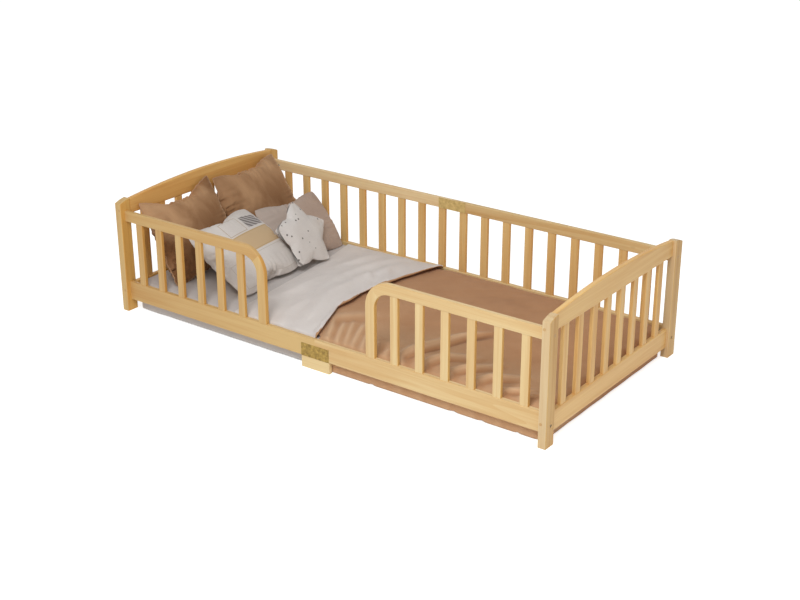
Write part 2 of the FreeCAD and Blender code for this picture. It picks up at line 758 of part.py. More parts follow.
# ---------------------------------------------------------------- cushions
# one half of a cushion, from its seam to its crown:
# (height, size of the outline, how far the sides stand out, roundness of the corners)
PILLOW_LEVELS = (
    (0.00, 1.00, -0.130, 0.07),
    (0.26, 0.945, -0.090, 0.20),
    (0.55, 0.84, -0.030, 0.34),
    (0.82, 0.66, 0.030, 0.42),
    (1.00, 0.39, 0.075, 0.46),
)
STAR_LEVELS = (
    (0.00, 1.00, 0.0, 0.22),
    (0.30, 0.93, 0.02, 0.26),
    (0.62, 0.80, 0.06, 0.32),
    (0.86, 0.60, 0.12, 0.38),
    (1.00, 0.34, 0.20, 0.42),
)


def pillow_outline(width, height, size, bulge, corner, z):
    """A four-cornered outline whose sides are drawn in or stand out by the bulge."""
    a = width / 2 * size
    b = height / 2 * size
    push = bulge * min(a, b)
    points = [
        (a, b), (0, b + push), (-a, b), (-a - push, 0),
        (-a, -b), (0, -b - push), (a, -b), (a + push, 0),
    ]
    corner_reach = corner * min(a, b)
    reaches = []
    for i in range(len(points)):
        reaches.append(corner_reach if i % 2 == 0 else 0.50 * min(a, b))
    return rounded_outline(points, reaches, z)


def star_outline(tip, valley, size, fill, soft, z):
    """A five-pointed outline; a high fill brings the valleys out towards the tips."""
    points = []
    reaches = []
    inner = valley + (tip - valley) * fill
    side = math.dist((tip, 0), (inner * math.cos(math.pi / 5), inner * math.sin(math.pi / 5)))
    for i in range(10):
        radius = tip if i % 2 == 0 else inner
        angle = math.radians(90 + 36 * i)
        points.append((radius * size * math.cos(angle), radius * size * math.sin(angle)))
        reaches.append(soft * side * size)
    return rounded_outline(points, reaches, z)


def crowned(outline, levels, thick):
    """Two lofted halves that meet at the seam."""
    halves = []
    for side in (1, -1):
        wires = [outline(size, bulge, corner, side * level * thick / 2)
                 for level, size, bulge, corner in levels]
        halves.append(Part.makeLoft(wires, True, False))
    return fused(halves)


def placed(shape, x, y, lean, turn, roll, lift):
    """Stand a flat cushion up, lean it back towards the headboard and seat it on the bed."""
    shape.rotate(ORIGIN, UP, roll)
    shape.rotate(ORIGIN, UP, 90)
    shape.rotate(ORIGIN, V(0, 1, 0), 90 - lean)
    shape.rotate(ORIGIN, UP, turn)
    lowest = min(v.z for v in shape.tessellate(1.0)[0])
    shape.translate(V(x, y, SHEET_TOP + lift - lowest))
    return shape


def square_cushion(size):
    width_share, height, thick, from_board, y_share, lean, turn, roll, lift = size
    width = width_share * 2 * MATTRESS_Y
    x = from_board - POST_X
    y = y_share * MATTRESS_Y

    def outline(scale, bulge, corner, z):
        return pillow_outline(width, height, scale, bulge, corner, z)

    return placed(crowned(outline, PILLOW_LEVELS, thick), x, y, lean, turn, roll, lift)


def star_cushion(size):
    tip_share, valley, thick, from_board, y_share, lean, turn, roll, lift = size
    tip = tip_share * 2 * MATTRESS_Y
    x = from_board - POST_X
    y = y_share * MATTRESS_Y

    def outline(scale, fill, soft, z):
        return star_outline(tip, valley, scale, fill, soft, z)

    return placed(crowned(outline, STAR_LEVELS, thick), x, y, lean, turn, roll, lift)


# ---------------------------------------------------------------- write the nodes
def write_frame():
    corner = post()
    for end, flip_x in (("head", True), ("foot", False)):
        for side, flip_y in (("front", True), ("back", False)):
            save(end + "_post_" + side, [mirrored(corner, flip_x, flip_y)])

    lower = end_lower_rail()
    arched = end_top_rail()
    slats = [end_slat(y) for y in end_slat_places()]
    save("footboard_lower_rail", [lower])
    save("footboard_top_rail", [arched])
    save("headboard_lower_rail", [mirrored(lower, True, False)])
    save("headboard_top_rail", [mirrored(arched, True, False)])
    for i, slat in enumerate(slats):
        save("footboard_slat_" + str(i + 1), [slat])
    save("headboard_slats", [mirrored(slat, True, False) for slat in slats])

    back_slats = [side_slat(x) for x in back_slat_places()]
    back_lower = side_lower_rail(back_slat_places(), False)
    back_top = back_top_rail()
    front_lower = mirrored(side_lower_rail(guard_slat_places(), True), False, True)
    guard_top = mirrored(guard_top_rail(), False, True)
    stile = mirrored(guard_stile(), False, True)
    guard_slats = [mirrored(side_slat(x), False, True) for x in guard_slat_places()]
    for end, flip_x in (("head", True), ("foot", False)):
        save("back_lower_rail_" + end, [mirrored(back_lower, flip_x, False)])
        save("back_top_rail_" + end, [mirrored(back_top, flip_x, False)])
        save("back_slats_" + end, [mirrored(slat, flip_x, False) for slat in back_slats])
        save("front_lower_rail_" + end, [mirrored(front_lower, flip_x, False)])
        save("guard_top_rail_" + end, [mirrored(guard_top, flip_x, False)])
        save("guard_end_stile_" + end, [mirrored(stile, flip_x, False)])
        for i, slat in enumerate(guard_slats):
            save("guard_slat_" + end + "_" + str(i + 1), [mirrored(slat, flip_x, False)])


def write_centre_joints():
    foot = centre_foot()
    save("centre_feet", [foot, mirrored(foot, False, True)])
    lower_plate = joint_plate(LOWER_PLATE_Z, PLATE_TALL)
    top_plate = turned_in(joint_plate(SIDE_TOP_Z, SIDE_TOP_TALL))
    save("joint_plates_lower", [lower_plate, mirrored(lower_plate, False, True)])
    save("joint_plate_back_top", [top_plate])
    lower_screws = plate_screws(LOWER_PLATE_Z, PLATE_TALL)
    top_screws = [turned_in(screw) for screw in plate_screws(SIDE_TOP_Z, SIDE_TOP_TALL)]
    front_screws = [mirrored(screw, False, True) for screw in lower_screws]
    save("joint_plate_screws", lower_screws + top_screws + front_screws)


def write_fasteners():
    bolt_heights = (SIDE_BOLT_LOW_Z, SIDE_BOLT_TOP_Z)
    screw_heights = (END_SCREW_LOW_Z, END_SCREW_TOP_Z)
    save("rail_bolts", at_four_corners(side_bolt, bolt_heights))
    save("barrel_nuts", at_four_corners(barrel_nut, bolt_heights))
    save("bolt_caps", at_four_corners(bolt_cap, (SIDE_BOLT_TOP_Z,)))
    save("end_rail_screws", at_four_corners(end_screw, screw_heights))
    save("screw_plugs", at_four_corners(end_plug, screw_heights))
    dowels = at_four_corners(side_dowel, (SIDE_DOWEL_LOW_Z, SIDE_DOWEL_TOP_Z))
    dowels += at_four_corners(end_dowel, (END_DOWEL_LOW_Z, END_DOWEL_TOP_Z))
    for flip_x in (False, True):
        for dowel in stile_dowels() + [mitre_dowel()]:
            dowels.append(mirrored(dowel, flip_x, True))
    for flip_y in (False, True):
        dowels += [mirrored(dowel, False, flip_y) for dowel in foot_dowels()]
    save("frame_dowels", dowels)


def write_bedding():
    save("mattress", [padded_box(0)])
    save("fitted_sheet", [fitted_sheet()])
    save("bedspread", [bedspread()])
    save("duvet", [duvet()])
    save("cushion_velvet_front", [square_cushion(VELVET_FRONT)])
    save("cushion_velvet_back", [square_cushion(VELVET_BACK)])
    save("cushion_patched", [square_cushion(PATCHED)])
    save("cushion_taupe", [square_cushion(TAUPE)])
    save("cushion_star", [star_cushion(STAR)])


os.makedirs("parts", exist_ok=True)
write_frame()
write_centre_joints()
write_fasteners()
write_bedding()
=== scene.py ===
# %% [markdown]
# # A toddler floor bed with slatted guards and its bedding
#
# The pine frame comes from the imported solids, so this lesson only dresses it: it gives every
# board a grain, and makes the soft things, the mattress, sheet, bedspread, duvet and cushions,
# as cloth. One unit is one metre, +X runs from headboard to footboard, +Y to the slatted back.

# %% Tools and frame
import math
import random

import bmesh
import bpy
from mathutils import Matrix, Quaternion, Vector, noise
from mathutils.bvhtree import BVHTree


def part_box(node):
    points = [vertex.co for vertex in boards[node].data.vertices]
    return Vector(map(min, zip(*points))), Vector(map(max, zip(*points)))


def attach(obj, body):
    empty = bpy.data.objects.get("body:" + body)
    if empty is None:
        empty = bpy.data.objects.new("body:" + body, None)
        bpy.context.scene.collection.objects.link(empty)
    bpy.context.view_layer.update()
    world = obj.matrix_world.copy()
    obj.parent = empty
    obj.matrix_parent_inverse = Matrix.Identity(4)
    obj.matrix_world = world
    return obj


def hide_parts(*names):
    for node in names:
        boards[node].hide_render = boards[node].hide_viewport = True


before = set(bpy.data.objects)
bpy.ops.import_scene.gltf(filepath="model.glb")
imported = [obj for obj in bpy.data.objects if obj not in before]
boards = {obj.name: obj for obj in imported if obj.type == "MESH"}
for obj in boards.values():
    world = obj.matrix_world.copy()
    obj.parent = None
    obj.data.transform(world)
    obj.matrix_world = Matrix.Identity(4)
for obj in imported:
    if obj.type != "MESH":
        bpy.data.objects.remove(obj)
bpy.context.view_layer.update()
scene = bpy.context.scene
print(len(boards), "solids in the frame")

# %% [markdown]
# ## The view
#
# A camera could be placed by eye, but the bed's own corners fix it better: seen from 37 degrees
# to the right and 23 degrees up, with a long lens, the posts come out where they should.

# %% Camera
VIEW_TURN = math.radians(36.57)
VIEW_RISE = math.radians(22.66)
VIEW_ROLL = math.radians(-0.08)
EYE = (3.1329, -4.1437, 2.3038)
LENS_MM = 62.41
SENSOR_MM = 36.0
camera = bpy.data.objects.new("camera", bpy.data.cameras.new("camera"))
scene.collection.objects.link(camera)
camera.data.lens = LENS_MM
camera.data.sensor_width = SENSOR_MM
camera.location = EYE
towards_eye = Vector((
    math.sin(VIEW_TURN) * math.cos(VIEW_RISE),
    -math.cos(VIEW_TURN) * math.cos(VIEW_RISE),
    math.sin(VIEW_RISE),
))
camera.rotation_mode = "QUATERNION"
camera.rotation_quaternion = (-towards_eye).to_track_quat("-Z", "Y") @ Quaternion((0, 0, 1), VIEW_ROLL)
scene.camera = camera
scene.view_settings.view_transform = "Standard"
print("camera at", [round(v, 3) for v in camera.location])

# %% [markdown]
# ## Small helpers for materials
#
# A material is a tree of nodes. A few short functions keep the later cells readable. The one
# used most is `wire`: it feeds a node's inputs by their labels, each with a constant or with
# what another node gives out, so that one call sets a whole node up. A `group` is a small tree
# that several materials share, and `use` puts it into one of them.

# %% Node helpers
LOOK = {"Colour": "NodeSocketColor", "Roughness": "NodeSocketFloat", "Height": "NodeSocketFloat"}
NOWHERE = (0.0, 0.0, 0.0)
WHITE = (1.0, 1.0, 1.0, 1.0)
BLACK = (0.0, 0.0, 0.0, 1.0)


def set_all(made, **settings):
    for key, value in settings.items():
        setattr(made, key, value)
    return made


def add(tree, kind, **settings):
    return set_all(tree.nodes.new(kind), **settings)


def feed(tree, socket, value):
    """Another node's output is joined to the socket, and a constant is set on it."""
    if isinstance(value, bpy.types.NodeSocket):
        tree.links.new(value, socket)
    else:
        socket.default_value = value


def wire(tree, made, **values):
    """Feed a node's inputs by label, written with an underscore for each space."""
    for label, value in values.items():
        feed(tree, made.inputs[label.replace("_", " ")], value)
    return made


def group(name, outputs=LOOK, **inputs):
    """A node group. An input's kind follows from its default: a number, a vector or a colour."""
    tree = bpy.data.node_groups.new(name, "ShaderNodeTree")
    for label, value in inputs.items():
        kind = "Float" if isinstance(value, float) else "Color" if len(value) == 4 else "Vector"
        socket = tree.interface.new_socket(
            label.replace("_", " "), in_out="INPUT", socket_type="NodeSocket" + kind)
        socket.default_value = value
    for label, kind in outputs.items():
        tree.interface.new_socket(label, in_out="OUTPUT", socket_type=kind)
    return tree, tree.nodes.new("NodeGroupInput").outputs, tree.nodes.new("NodeGroupOutput")


def use(tree, node_group, **values):
    return wire(tree, add(tree, "ShaderNodeGroup", node_tree=node_group), **values).outputs


def math_node(tree, operation, *values, kind="ShaderNodeMath", **settings):
    made = add(tree, kind, operation=operation, **settings)
    for socket, value in zip(made.inputs, values):
        feed(tree, socket, value)
    return made.outputs[0]


def vector_node(tree, operation, *values):
    return math_node(tree, operation, *values, kind="ShaderNodeVectorMath")


def weighted_sum(tree, *terms, clamp=False):
    """Adds values up, each times its weight; clamp keeps the sum between 0 and 1."""
    total = 0.0
    for number, (value, weight) in enumerate(terms, 1):
        last = number == len(terms)
        total = math_node(tree, "MULTIPLY_ADD", value, weight, total, use_clamp=clamp and last)
    return total


def mix_colour(tree, factor, first, second):
    made = add(tree, "ShaderNodeMix", data_type="RGBA")
    for index, value in ((0, factor), (6, first), (7, second)):
        feed(tree, made.inputs[index], value)
    return made.outputs[2]


def parts(tree, vector):
    return wire(tree, add(tree, "ShaderNodeSeparateXYZ"), Vector=vector).outputs


def stretched(tree, place, scale):
    return wire(tree, add(tree, "ShaderNodeMapping"), Vector=place, Scale=scale).outputs[0]


def cloudy(tree, place, scale, detail=2.0, rough=0.5, distortion=0.0):
    made = wire(tree, add(tree, "ShaderNodeTexNoise"), Vector=place, Scale=scale, Detail=detail,
                Roughness=rough, Distortion=distortion)
    return made.outputs["Fac"]


def spread(tree, value, low, high, to_low=0.0, to_high=1.0):
    """Maps low..high to to_low..to_high, and holds what lies beyond."""
    made = wire(tree, add(tree, "ShaderNodeMapRange"), Value=value, From_Min=low, From_Max=high,
                To_Min=to_low, To_Max=to_high)
    return made.outputs[0]


def shader(name, **sockets):
    """A material with a Principled shader whose constant sockets are set directly."""
    made = bpy.data.materials.new(name)
    made.use_nodes = True
    tree = made.node_tree
    return made, tree, wire(tree, tree.nodes["Principled BSDF"], **sockets)


def bump(tree, surface, height, distance, strength):
    made = wire(tree, add(tree, "ShaderNodeBump"), Height=height, Distance=distance, Strength=strength)
    wire(tree, surface, Normal=made.outputs[0])


def coat(tree, surface, look, distance, strength):
    """Give a surface the colour, roughness and fine relief that a group makes."""
    wire(tree, surface, Base_Color=look["Colour"], Roughness=look["Roughness"])
    bump(tree, surface, look["Height"], distance, strength)


def srgb(red, green, blue):
    """A colour as a paint chart gives it, turned into the linear values that shaders use."""
    linear = []
    for value in (red / 255, green / 255, blue / 255):
        linear.append(value / 12.92 if value <= 0.04045 else ((value + 0.055) / 1.055) ** 2.4)
    return (*linear, 1.0)


print("node helpers ready")

# %% [markdown]
# ## Pine grain
#
# Planed pine shows long pale and honey streaks along the board, faint growth rings between
# them and now and then a small knot. A picture of wood would repeat and show its seams, so the
# grain is grown from noise that is stretched along the board. The same group serves each board.

# %% The grain group
PALE = srgb(233, 208, 156)
RING = srgb(210, 167, 108)
KNOT = srgb(150, 98, 52)
KNOT_CHANCE = 0.14
KNOT_STRENGTH = 0.75


def make_grain():
    tree, start, end = group("pine grain", Place=NOWHERE, Pale_wood=PALE, Ring_wood=RING, Tone=0.0)
    place = start["Place"]
    wander = cloudy(tree, stretched(tree, place, (1.1, 7.0, 7.0)), 1.0, 1.0)
    figure = cloudy(tree, stretched(tree, place, (1.6, 46.0, 46.0)), 1.0, 3.0, 0.55, 0.35)
    streaks = cloudy(tree, stretched(tree, place, (5.0, 260.0, 260.0)), 1.0, 2.0, 0.6)
    rings = add(tree, "ShaderNodeTexWave", wave_type="BANDS", bands_direction="Y", wave_profile="SAW")
    wire(tree, rings, Vector=stretched(tree, place, (0.45, 8.5, 8.5)), Scale=1.0, Distortion=5.0,
         Detail=1.5, Detail_Scale=0.7)
    share = weighted_sum(
        tree,
        (spread(tree, figure, 0.34, 0.68), 0.52),
        (spread(tree, rings.outputs["Fac"], 0.55, 1.0), 0.26),
        (spread(tree, streaks, 0.35, 0.7), 0.20),
        (spread(tree, wander, 0.3, 0.7, -0.5, 0.5), 0.42),
        (start["Tone"], 1.0),
        clamp=True)
    wood = mix_colour(tree, share, start["Pale wood"], start["Ring wood"])
    knots = wire(tree, add(tree, "ShaderNodeTexVoronoi"), Scale=1.0,
                 Vector=stretched(tree, place, (5.0, 13.0, 13.0))).outputs
    cell = wire(tree, add(tree, "ShaderNodeSeparateColor"), Color=knots["Color"])
    rare = math_node(tree, "GREATER_THAN", cell.outputs["Red"], 1 - KNOT_CHANCE)
    knot = math_node(tree, "MULTIPLY", spread(tree, knots["Distance"], 0.13, 0.02), rare)
    wood = mix_colour(tree, math_node(tree, "MULTIPLY", knot, KNOT_STRENGTH), wood, KNOT)
    wire(tree, end, Colour=wood, Roughness=spread(tree, share, 0.0, 1.0, 0.40, 0.52),
         Height=math_node(tree, "MULTIPLY_ADD", streaks, 0.5, share))
    return tree


pine_grain = make_grain()
print("pine grain:", len(pine_grain.nodes), "nodes")

# %% [markdown]
# ## A material for each board
#
# No two boards are cut from the same place in a tree. The grain is the same group each time,
# but each board gets its own turn, so that it runs along the board, its own shift and a tone a
# little lighter or darker. Each board also gets a tint that is partly its tone and partly painted
# light and shade: the head end is darkened and reddened as painted shade. The side faces of posts,
# slats and stiles that face the ends of the bed carry painted shade, deeper and more orange than
# their wide faces. The lacquer is satin: a thin coat over fairly dull wood.

# %% Boards
AS_CUT = (1.0, 1.0, 1.0)
# Painted light and shade per board over a little real tone: the head end darker and redder, the foot post
# dimmer, the back top rail at the head paler.
BOARD_TONE_AND_SHADE = (
    ("headboard", (1.02, 0.80, 0.51)),
    ("footboard", (1.08, 0.92, 0.70)),
    ("foot_post", (0.88, 0.87, 0.95)),
    ("back_slats", (0.98, 0.87, 0.70)),
    ("back_top_rail_head", (1.10, 1.14, 1.28)),
    ("back_top_rail_foot", (0.94, 0.92, 0.88)),
    ("back_lower_rail", AS_CUT),
    ("head", (0.85, 0.75, 0.60)),
)
# Painted shade for the side faces that face the ends of the bed.
SIDE_FACE_SHADE = (1.0, 0.84, 0.54)
GRAIN_TURNS = {"x": (0.0, 0.0, 0.0), "y": (0.0, 0.0, -math.pi / 2), "z": (0.0, math.pi / 2, 0.0)}
TONE_RANGE = 0.10
chance = random.Random(7)


def toned(colour, factors):
    return (*(c * f for c, f in zip(colour, factors)), 1.0)


def wood_material(name, along, tone, pale=PALE, ring=RING, paint_side_shade=False):
    made, tree, surface = shader(name, Coat_Weight=0.06, Coat_Roughness=0.30, Specular_IOR_Level=0.25)
    where = add(tree, "ShaderNodeTexCoord").outputs
    turn = wire(tree, add(tree, "ShaderNodeMapping"), Vector=where["Object"], Rotation=GRAIN_TURNS[along],
                Location=[chance.uniform(0, 9) for _ in range(3)])
    woods = {"Pale_wood": pale, "Ring_wood": ring}
    if paint_side_shade:
        # Painted shade: faces whose normal points along X get deeper, more orange wood.
        sideways = math_node(tree, "ABSOLUTE", parts(tree, where["Normal"])["X"])
        edge = spread(tree, sideways, 0.55, 0.80)
        for label, colour in woods.items():
            woods[label] = mix_colour(tree, edge, colour, toned(colour, SIDE_FACE_SHADE))
    coat(tree, surface, use(tree, pine_grain, Place=turn.outputs[0], Tone=tone, **woods), 0.0004, 0.35)
    return made


def dress(node, material):
    slots = boards[node].data.materials
    if len(slots) == 0:
        slots.append(material)
    for index in range(len(slots)):
        slots[index] = material


def grain_way(node):
    """The way a board's grain runs: along its longest side, and upright in posts and slats."""
    if "post" in node or "slat" in node or "stile" in node:
        return "z"
    if node.startswith(("headboard", "footboard")):
        return "y"
    return "x"


def board_tone_and_shade(node):
    """A board's tint of red, green and blue, partly tone and partly painted light and shade: the first row
    whose word is in its name.
    """
    return next((depth for word, depth in BOARD_TONE_AND_SHADE if word in node), AS_CUT)


SOFT = ("mattress", "fitted_sheet", "bedspread", "duvet")
METAL = ("joint_plates_lower", "joint_plate_back_top", "joint_plate_screws", "rail_bolts",
         "barrel_nuts", "end_rail_screws")
SMALL_WOOD = ("bolt_caps", "screw_plugs", "frame_dowels")
pine_boards = []
for node in sorted(boards):
    if node in SOFT or node in METAL or node in SMALL_WOOD or node.startswith("cushion"):
        continue
    pine_boards.append(node)
    depth = board_tone_and_shade(node)
    # Posts, slats and stiles get painted shade on their end-facing sides.
    shade_side_faces = grain_way(node) == "z" and "board" not in node
    dress(node, wood_material("pine " + node, grain_way(node), chance.uniform(-TONE_RANGE, TONE_RANGE),
                              toned(PALE, depth), toned(RING, depth), shade_side_faces))
print(len(pine_boards), "boards have their own grain")

# %% [markdown]
# ## Caps, plugs and dowels
#
# Small turned pieces show the same wood, but their grain runs into the post, so they look a
# shade darker. Beech dowels are plainer and redder.

# %% Small wooden pieces
dress("bolt_caps", wood_material("cap wood", "x", 0.35, srgb(214, 178, 124), srgb(186, 140, 86)))
dress("screw_plugs", wood_material("plug wood", "y", 0.30, srgb(216, 182, 130), srgb(190, 146, 92)))
dress("frame_dowels", wood_material("beech", "x", 0.0, srgb(222, 190, 150), srgb(200, 160, 118)))
print("caps, plugs and dowels dressed")

# %% [markdown]
# ## Aged brass and zinc
#
# The joint plates are aged brass: olive brown with brighter and darker clouds. A plain metal
# would look gilt, so the metal is dulled and its colour and roughness wander together. The
# plate on the back's top rail is a paler brass that carries painted light. The hidden bolts, nuts
# and screws are zinc plated steel.

# %% Metals
def make_tarnish():
    tree, start, end = group("tarnish", Place=NOWHERE, Bright=WHITE, Dark=BLACK, Clouds=60.0)
    fog = spread(tree, cloudy(tree, start["Place"], start["Clouds"], 5.0, 0.65), 0.35, 0.66)
    wire(tree, end, Colour=mix_colour(tree, fog, start["Dark"], start["Bright"]),
         Roughness=spread(tree, fog, 0.0, 1.0, 0.62, 0.42), Height=fog)
    return tree


tarnish = make_tarnish()


def metal_material(name, bright, dark, clouds, metallic):
    made, tree, surface = shader(name, Metallic=metallic)
    place = add(tree, "ShaderNodeTexCoord").outputs["Object"]
    coat(tree, surface, use(tree, tarnish, Place=place, Bright=bright, Dark=dark, Clouds=clouds),
         0.0002, 0.4)
    return made


brass = metal_material("aged brass", srgb(188, 155, 75), srgb(134, 107, 47), 60.0, 0.30)
# A paler brass as painted light on the plate of the back's top rail.
painted_light_brass = metal_material("brass with painted light", srgb(228, 200, 132), srgb(196, 166, 102), 60.0, 0.30)
zinc = metal_material("zinc plate", srgb(188, 190, 192), srgb(150, 152, 156), 220.0, 0.9)
for node in METAL:
    dress(node, zinc)
dress("joint_plates_lower", brass)
dress("joint_plate_back_top", painted_light_brass)
print("metals on", len(METAL), "solids")

# %% [markdown]
# ## Cloth
#
# Woven cotton has three scales: threads that cross at right angles, small slubs, and broad soft
# patches where the cloth is worn or creased. The group below draws all three on the piece's own
# flat coordinates in metres, so the threads follow each fold.

# %% The cloth group
def make_cloth():
    tree, start, end = group("woven cloth", Place=NOWHERE, Light=WHITE, Dark=BLACK, Threads=300.0)
    place = start["Place"]
    weave = 1.0
    for way in ("X", "Y"):
        threads = wire(tree, add(tree, "ShaderNodeTexWave", wave_type="BANDS", bands_direction=way),
                       Vector=place, Scale=start["Threads"], Distortion=0.4)
        weave = math_node(tree, "MULTIPLY", weave, threads.outputs["Fac"])
    broad = cloudy(tree, place, 9.0, 3.0, 0.55)
    slub = cloudy(tree, stretched(tree, place, (60.0, 420.0, 60.0)), 1.0, 2.0)
    share = weighted_sum(
        tree,
        (spread(tree, broad, 0.3, 0.7), 0.45),
        (spread(tree, slub, 0.3, 0.7), 0.25),
        (weave, 0.30),
        clamp=True)
    wire(tree, end, Colour=mix_colour(tree, share, start["Dark"], start["Light"]),
         Roughness=spread(tree, share, 0.0, 1.0, 0.92, 0.80),
         Height=math_node(tree, "MULTIPLY_ADD", slub, 0.6, weave))
    return tree


woven = make_cloth()


def cloth_parts(name, light, dark, threads=330.0, sheen=0.12):
    """A cloth material, and the parts of it that a print laid over it needs."""
    made, tree, surface = shader(name, Sheen_Weight=sheen, Sheen_Roughness=0.45, Specular_IOR_Level=0.25)
    flat = add(tree, "ShaderNodeUVMap", uv_map="flat").outputs[0]
    weave = use(tree, woven, Place=flat, Light=light, Dark=dark, Threads=threads)
    coat(tree, surface, weave, 0.0003, 0.5)
    return made, tree, surface, flat, weave["Colour"]


def cloth_material(*look):
    return cloth_parts(*look)[0]


def fold_shaded_material():
    """The bedspread's cotton: painted highlights on its ridges and towards the open front, and painted shade
    down in its creases.
    """
    made, tree, surface, flat, colour = cloth_parts(
        "brown cotton with painted fold shade", srgb(195, 148, 108), srgb(179, 131, 92))
    fold_shading = add(tree, "ShaderNodeAttribute", attribute_name="fold_shading").outputs["Fac"]
    # Painted highlight on the ridges, then painted shade down in the creases.
    colour = mix_colour(tree, spread(tree, fold_shading, 0.05, 1.1), colour, srgb(216, 178, 140))
    colour = mix_colour(tree, spread(tree, fold_shading, -0.05, -0.75, 0.0, 0.85), colour, srgb(118, 76, 48))
    wire(tree, surface, Base_Color=colour)
    return made


grey_cotton = cloth_material("grey cotton sheet", srgb(212, 206, 203), srgb(198, 191, 187))
pale_cotton = cloth_material("pale washed cotton", srgb(233, 226, 221), srgb(218, 210, 205))
brown_cotton = cloth_material("brown washed cotton", srgb(200, 160, 122), srgb(182, 139, 100))
knit_cover = cloth_material("knitted mattress cover", srgb(226, 222, 216), srgb(206, 202, 196), 120.0)
fold_shaded_cotton = fold_shaded_material()
print("cloth materials ready")

# %% [markdown]
# ## Helpers for soft pieces
#
# Bedding on a mattress is a block with rounded corners before it is anything else. It is made
# with the same tools as by hand, a cube with bevelled edges cut by planes into a fine net, and
# then its points are lifted into crowns and folds. `flat_map` lays a map in metres on it.

# %% Block, net and map
def bed_block(low, high, corner, edge, cell):
    """A block with rounded upright corners and a rounded top rim, cut into a fine net."""
    bm = bmesh.new()
    bmesh.ops.create_cube(bm, size=1.0)
    bmesh.ops.scale(bm, vec=[b - a for a, b in zip(low, high)], verts=bm.verts)
    bmesh.ops.translate(bm, vec=[(a + b) / 2 for a, b in zip(low, high)], verts=bm.verts)
    rounding = {"offset_type": "OFFSET", "profile": 0.5, "affect": "EDGES", "material": -1}
    upright = [e for e in bm.edges if abs(e.verts[0].co.z - e.verts[1].co.z) > 1e-4]
    bmesh.ops.bevel(bm, geom=upright, offset=corner, segments=6, **rounding)
    bm.normal_update()
    rim = list({e for f in bm.faces if f.normal.z > 0.9 for e in f.edges})
    bmesh.ops.bevel(bm, geom=rim, offset=edge, segments=5, **rounding)
    for axis in range(3):
        cuts = max(2, round((high[axis] - low[axis]) / cell))
        for k in range(1, cuts):
            place, facing = Vector(), Vector()
            place[axis] = low[axis] + (high[axis] - low[axis]) * k / cuts
            facing[axis] = 1.0
            bmesh.ops.bisect_plane(bm, geom=bm.verts[:] + bm.edges[:] + bm.faces[:],
                                   plane_co=place, plane_no=facing)
    bm.normal_update()
    return bm


def flat_map(bm):
    """A map in metres: seen from above on top, and from the side on the drops."""
    layer = bm.loops.layers.uv.new("flat")
    for face in bm.faces:
        facing = max(range(3), key=lambda k: abs(face.normal[k]))
        u, v = ((1, 2), (0, 2), (0, 1))[facing]
        for loop in face.loops:
            loop[layer].uv = (loop.vert.co[u], loop.vert.co[v])


def finish_piece(name, bm, materials, smooth=True):
    mesh = bpy.data.meshes.new(name)
    bm.to_mesh(mesh)
    bm.free()
    for material in materials:
        mesh.materials.append(material)
    if smooth:
        mesh.shade_smooth()
    piece = bpy.data.objects.new(name, mesh)
    scene.collection.objects.link(piece)
    return piece


def soften(piece):
    set_all(piece.modifiers.new("soften", "SUBSURF"), levels=1, render_levels=1)


def thicken(piece, amount):
    """Cloth gets its thickness inwards, so its outer face stays where it is."""
    set_all(piece.modifiers.new("thickness", "SOLIDIFY"), thickness=amount, offset=-1.0)


def extent(piece):
    """The lowest and the highest x, y and z of a piece's points."""
    points = [v.co for v in piece.data.vertices]
    return [min(p[k] for p in points) for k in range(3)], [max(p[k] for p in points) for k in range(3)]


def straight(low, high, value):
    return (value - low) / (high - low)


def smoothstep(low, high, value):
    """Eases from 0 at low to 1 at high; low may be the larger of the two."""
    t = min(1.0, max(0.0, straight(low, high, value)))
    return t * t * (3 - 2 * t)


def along_table(table, value, ease=smoothstep):
    """A value read from a short table of (place, value), eased or straight between its rows."""
    if value <= table[0][0]:
        return table[0][1]
    for (a, low), (b, high) in zip(table, table[1:]):
        if value <= b:
            return low + (high - low) * ease(a, b, value)
    return table[-1][1]


def ripple(x, y, z, scale, seed):
    return noise.noise(Vector((x * scale + seed, y * scale, z * scale)))


print("soft helpers ready")

# %% [markdown]
# ## Folds
#
# A fold in cloth rises gently, falls off steeply and has a hollow at its foot. Each one follows
# a short line of points on the bed, fades out at both ends and has its own height and width.
# Lines given one by one look calmer than random wrinkles and put the big folds where cloth was
# pulled.

# %% Fold profile
GENTLE_SIDE, STEEP_SIDE = 1.8, 0.8
HOLLOW_DEPTH, HOLLOW_AT, HOLLOW_WIDTH = 0.55, 2.3, 1.25


def beside_line(x, y, start, end):
    """How far a point lies from a straight line, on which side, and how far along."""
    ux, uy = end[0] - start[0], end[1] - start[1]
    t = ((x - start[0]) * ux + (y - start[1]) * uy) / (ux * ux + uy * uy)
    t = min(1.0, max(0.0, t))
    dx, dy = x - start[0] - ux * t, y - start[1] - uy * t
    return math.hypot(dx, dy), 1.0 if ux * dy - uy * dx < 0 else -1.0, t


def fold_height(folds, x, y):
    total = 0.0
    for line, height, width in folds:
        runs = [(*beside_line(x, y, start, end), k) for k, (start, end) in enumerate(zip(line, line[1:]))]
        away, side, t, k = min(runs, key=lambda run: run[0])
        if away > 4.5 * width:
            continue
        reach = side * away / width
        ridge = math.exp(-((reach / (GENTLE_SIDE if reach < 0 else STEEP_SIDE)) ** 2))
        shape = ridge - HOLLOW_DEPTH * math.exp(-(((reach - HOLLOW_AT) / HOLLOW_WIDTH) ** 2))
        share = (k + t) / len(runs)
        total += height * shape * math.sin(math.pi * min(1.0, max(0.0, share * 0.86 + 0.10))) ** 0.7
    return total


print("folds are measured in metres")

# %% [markdown]
# ## Mattress
#
# A child's foam mattress lies on the floor inside the frame, in a knitted cover. Only its form
# shows through the sheet, so it is a soft block with rounded edges, drawn in a little at the
# floor and small enough to leave room for the sheet.

